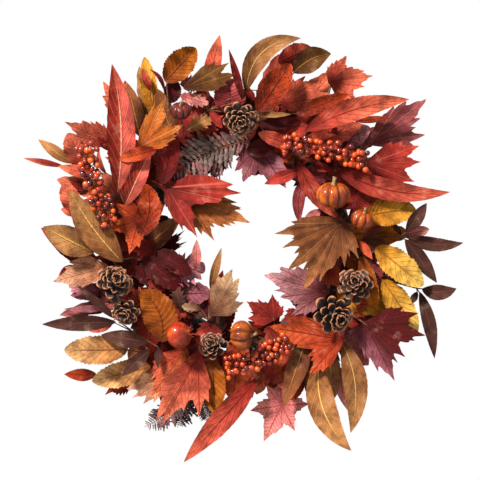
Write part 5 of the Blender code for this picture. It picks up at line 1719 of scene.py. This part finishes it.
# Leaves planted low between the sprays: (form, layer, base, tip, width, tone)
LOW_PLAN = [
    (oval, 4.8, (-14.2, -2.2), (-8.8, -6.6), 3.4, "maroon"),
    (oval, 4.8, (-12.2, -1.2), (-7.4, -4.6), 2.8, "maroon"),
    (oval, 2.6, (-17.5, 6.5), (-26.6, 8.9), 2.8, "salmon"),
    (oval, 2.2, (-17.0, 4.5), (-26.0, 4.6), 3.4, "red_salmon"),
    (lance, 2.4, (-17.0, -0.5), (-28.2, 1.6), 3.0, "crimson"),
    (oval, 4.2, (-16.2, 4.0), (-19.8, 9.6), 3.2, "salmon"),
    (oval, 3.6, (-16.6, 8.6), (-18.6, 14.6), 3.0, "crimson"),
    (oval, 2.0, (-12.5, 13.5), (-14.9, 25.0), 2.4, "tan"),
    (oval, 3.4, (-9.6, 13.4), (-12.2, 21.6), 2.8, "brown"),
    (oval, 3.8, (-7.6, 13.2), (-9.0, 18.0), 2.4, "dark_red"),
    (oval, 2.8, (-4.2, 13.6), (-6.2, 22.0), 3.8, "crimson"),
    (oval, 3.0, (0.6, 14.2), (0.8, 21.8), 2.8, "dark_red"),
    (oval, 2.6, (2.4, 16.0), (5.0, 26.6), 3.6, "red_salmon"),
    (oval, 2.8, (5.4, 16.4), (12.6, 24.0), 3.8, "salmon_orange"),
    (oval, 3.6, (3.8, 14.2), (10.6, 17.8), 3.0, "crimson"),
    (oval, 3.8, (8.0, 12.8), (16.6, 16.6), 3.0, "red_salmon"),
    (oval, 2.6, (11.8, 11.8), (19.6, 16.0), 3.4, "dusty_rose"),
    (oval, 3.0, (9.6, 9.0), (16.0, 8.6), 3.2, "crimson"),
    (oval, 2.8, (13.0, 5.0), (23.0, 9.2), 3.2, "brick"),
    (oval, 3.2, (13.0, 1.2), (23.4, 1.2), 3.8, "gold_brown"),
    (oval, 3.4, (14.0, -2.0), (21.6, -6.4), 3.0, "gold_brown"),
    (oval, 3.2, (13.0, -7.0), (21.4, -9.6), 4.0, "gold"),
    (oval, 3.4, (11.8, -11.4), (17.6, -17.4), 3.6, "dusty_rose"),
    (oval, 3.8, (8.2, -12.0), (9.6, -22.0), 3.0, "brown"),
    (oval, 3.6, (11.4, -12.4), (12.8, -22.0), 2.8, "tan"),
    (oval, 3.4, (3.0, -13.4), (5.8, -21.0), 3.6, "crimson"),
    (oval, 3.0, (3.6, -13.4), (1.8, -21.6), 3.6, "salmon"),
    (oval, 3.4, (-0.6, -13.8), (-1.6, -22.4), 4.4, "orange_red"),
    (oval, 2.6, (-10.6, -7.4), (-4.6, -7.2), 3.6, "deep_mauve"),
    (oval, 2.2, (-7.6, -10.6), (-2.6, -7.6), 2.6, "maroon"),
    (oval, 3.0, (-13.4, -9.0), (-13.6, -16.0), 3.4, "crimson"),
    (oval, 2.4, (-11.4, -11.0), (-16.4, -16.6), 3.2, "brown"),
    (oval, 2.6, (-10.0, -12.4), (-13.4, -19.6), 3.2, "brick"),
    (oval, 2.4, (-14.0, -6.0), (-24.6, -7.6), 3.0, "deep_mauve"),
    (oval, 2.0, (-14.6, -7.6), (-26.2, -10.4), 2.2, "dusty_rose"),
    (oval, 2.8, (-15.0, -3.6), (-22.6, -4.2), 3.0, "maroon"),
    (lance, 1.6, (-11.6, -14.6), (-19.8, -21.8), 2.2, "rust"),
    (oval, 1.8, (-9.0, -15.2), (-11.4, -23.4), 3.4, "brick"),
    (oval, 2.0, (13.4, -9.6), (22.4, -13.0), 3.6, "deep_mauve"),
    (oval, 2.4, (13.8, 8.0), (22.0, 12.4), 3.4, "dusty_rose"),
    (oval, 2.2, (9.6, 14.0), (15.4, 22.4), 3.6, "brick"),
    (oval, 2.4, (-3.0, 14.8), (-0.8, 22.6), 3.4, "maroon"),
    (oval, 3.0, (-12.8, 9.0), (-16.8, 15.0), 3.4, "dark_red"),
    (oval, 2.8, (-14.4, 1.0), (-20.6, 3.4), 3.4, "dark_red"),
]


# Lobes of the small leaves: (turn from the leaf's middle in radians, share of its length)
LOW_LOBES = ((-0.9, 0.8), (-0.4, 0.95), (0.1, 1.0), (0.6, 0.85))
BETWEEN_LOBES = ((-1.15, 0.6), (-0.6, 0.85), (0.0, 1.0), (0.55, 0.88), (1.1, 0.62))
LOW_BANDS = 3
PLACE_SCATTER = 0.3
LOW_SEED = 11
# The low leaves' first layer, the layers from band to band, and how far a layer may vary
LOW_LAYER, BAND_PITCH, LAYER_SCATTER = 0.5, 0.8, 0.5
# What their places, headings and sizes are drawn from; every other one is short and turned in
LOW_OUT = (13.2, 15.2)
LOW_HEADING = (-0.9, 0.9)
SHORT_LENGTH, LONG_LENGTH = (3.2, 4.8), (4.5, 6.5)
LOW_WIDTH = (2.0, 3.2)
# Painted shade: the lowest leaves' dye is dimmed, for lying under the sprays; the leaves between them
# vary at random
LOW_SHADE = 0.7
BETWEEN_SHADE = (0.7, 1.05)


def stepped(base, heading, length):
    """The plan point a length away from another in a heading."""
    return base[0] + length * math.cos(heading), base[1] + length * math.sin(heading)


def low_leaves():
    """Dark leaves close round the ring that fill the gaps between the planted sprays; the lowest are
    dimmed with painted shade.
    """
    rng = np.random.default_rng(LOW_SEED)
    work = Patchwork()
    for k in range(LOW_LEAVES):
        place = k + rng.uniform(-PLACE_SCATTER, PLACE_SCATTER)
        angle = TURN * place / LOW_LEAVES * LOW_BANDS
        band = k * LOW_BANDS // LOW_LEAVES
        layer = LOW_LAYER + BAND_PITCH * band + rng.uniform(0.0, LAYER_SCATTER)
        start = rng.uniform(*LOW_OUT)
        heading = angle + rng.uniform(*LOW_HEADING) + (math.pi if k % 2 else 0.0)
        length = rng.uniform(*(SHORT_LENGTH if k % 2 else LONG_LENGTH))
        base = stepped((0.0, 0.0), angle, start)
        tone = LOW_TONES[int(rng.integers(len(LOW_TONES)))]
        if k % 4 == 3:
            tips = [stepped(base, heading + off, length * share) for off, share in LOW_LOBES]
            lobed(work, fan(layer, base, tips, 0.17, 0.55, tone=tone, shade=LOW_SHADE,
                            fine=False), rng)
        else:
            tip = stepped(base, heading, length)
            blade(work, oval(layer, base, tip, rng.uniform(*LOW_WIDTH), tone=tone,
                             shade=LOW_SHADE, teeth=0.3, tooth_count=9, fine=False), rng)
    for count, start, spread, shortest, longest, back, front in BETWEEN_ROUNDS:
        for k in range(count):
            angle = TURN * (k + rng.uniform(-PLACE_SCATTER, PLACE_SCATTER)) / count
            heading = angle + rng.uniform(-spread, spread)
            length = rng.uniform(shortest, longest)
            base = stepped((0.0, 0.0), angle, start)
            tips = [stepped(base, heading + off, length * share) for off, share in BETWEEN_LOBES]
            tone = BETWEEN_TONES[int(rng.integers(len(BETWEEN_TONES)))]
            lobed(work, fan(rng.uniform(back, front), base, tips, 0.17, 0.42, tone=tone,
                            shade=rng.uniform(*BETWEEN_SHADE), fine=False), rng)
    for form, layer, base, tip, width, tone in LOW_PLAN:
        blade(work, form(layer, base, tip, width, tone=tone, teeth=0.22, tooth_count=11,
                         fine=False), rng)
        add_stem(work, on_layer(layer, *Vector(base).lerp(Vector(tip), LEAF_START)),
                 foot_on_ring(on_layer(layer, *base)))
    seated(work.made("low_leaves_round_ring"), "root", "leaf_brown")


# ---- putting the wreath together

GOURD_SKINS = {
    "gourd_top_left": gourd_skin("gourd_skin_dark", dye(112, 30, 14), dye(70, 12, 8),
                                 dye(44, 8, 6)),
    "gourd_right": gourd_skin("gourd_skin_orange", dye(196, 100, 12), dye(140, 56, 6),
                              dye(122, 30, 8)),
    "gourd_right_small": gourd_skin("gourd_skin_red", dye(190, 92, 14), dye(136, 48, 8),
                                    dye(104, 22, 8)),
    "gourd_bottom": gourd_skin("gourd_skin_brown", dye(190, 94, 16), dye(128, 50, 8),
                               dye(88, 26, 10)),
    "pomegranate_bottom_left": gourd_skin("pomegranate_skin", dye(204, 96, 24),
                                          dye(164, 34, 14), dye(104, 18, 10)),
}

for spray_name, (spray_slot, hub, foot_turn, leaves) in SPRAYS.items():
    spray(spray_name, spray_slot, hub, foot_turn, leaves)
pine_cones()
gourds()
berry_sprays()
ferns()
ring_piece()
wires()
low_leaves()


# ---- floor, light and camera

FLOOR_RADIUS = 0.8
FLOOR_DROP = 0.46
# Where each light stands from the ring's centre, in metres, its width and its watts
KEY_PLACE, KEY_WIDTH, KEY_WATTS = (-1.3, -1.6, 1.7), 0.40, 290.0
FILL_PLACE, FILL_WIDTH, FILL_WATTS = (1.8, -2.0, 0.3), 1.6, 10.0
WARM_WHITE = (1.0, 0.975, 0.93)
WHITE = (1.0, 1.0, 1.0)
# The width that the camera takes in at the leaves, where the leaves are, and its middle's
# distance from the ring's centre to the right and up
VIEW_WIDTH = 0.672
LEAF_FRONT = 0.055
LENS = 128.0
VIEW_RIGHT, VIEW_UP = -0.0056, 0.0028


def floor():
    """A wide pale disc well under the wreath."""
    mesh = bpy.data.meshes.new("floor")
    edit = bmesh.new()
    bmesh.ops.create_circle(edit, cap_ends=True, segments=96, radius=FLOOR_RADIUS)
    bmesh.ops.translate(edit, verts=edit.verts, vec=RING_CENTRE - Vector((0.0, 0.0, FLOOR_DROP)))
    edit.to_mesh(mesh)
    edit.free()
    material, tree, shader, where = finish("pale_floor", 0.9, specular=0.1)
    grain = tree.noise(where, 14.0)
    wire_up(tree, shader, tree.mix(grain, dye(236, 235, 232), dye(244, 243, 241)))
    mesh.materials.append(material)
    disc = bpy.data.objects.new("floor", mesh)
    bpy.context.scene.collection.objects.link(disc)


def lamp(name, place, width, watts, colour):
    """A soft square light, turned towards the wreath."""
    data = bpy.data.lights.new(name, "AREA")
    data.shape = "SQUARE"
    data.size = width
    data.energy = watts
    data.color = colour
    light = bpy.data.objects.new(name, data)
    light.location = RING_CENTRE + Vector(place)
    light.rotation_euler = (-Vector(place)).to_track_quat("-Z", "Y").to_euler()
    light.visible_camera = False
    bpy.context.scene.collection.objects.link(light)


def studio():
    floor()
    lamp("key_light", KEY_PLACE, KEY_WIDTH, KEY_WATTS, WARM_WHITE)
    lamp("fill_light", FILL_PLACE, FILL_WIDTH, FILL_WATTS, WHITE)
    scene = bpy.context.scene
    world = bpy.data.worlds.new("white_room")
    world.use_nodes = True
    world.node_tree.nodes["Background"].inputs["Color"].default_value = (*WHITE, 1.0)
    world.node_tree.nodes["Background"].inputs["Strength"].default_value = 1.0
    scene.world = world
    scene.view_settings.view_transform = "Standard"


def camera():
    data = bpy.data.cameras.new("front_view")
    data.lens = LENS
    eye = bpy.data.objects.new("front_view", data)
    away = VIEW_WIDTH * LENS / data.sensor_width
    eye.location = RING_CENTRE + Vector((VIEW_RIGHT, -LEAF_FRONT - away, VIEW_UP))
    eye.rotation_euler = (math.pi / 2, 0.0, 0.0)
    bpy.context.scene.collection.objects.link(eye)
    bpy.context.scene.camera = eye


studio()
camera()
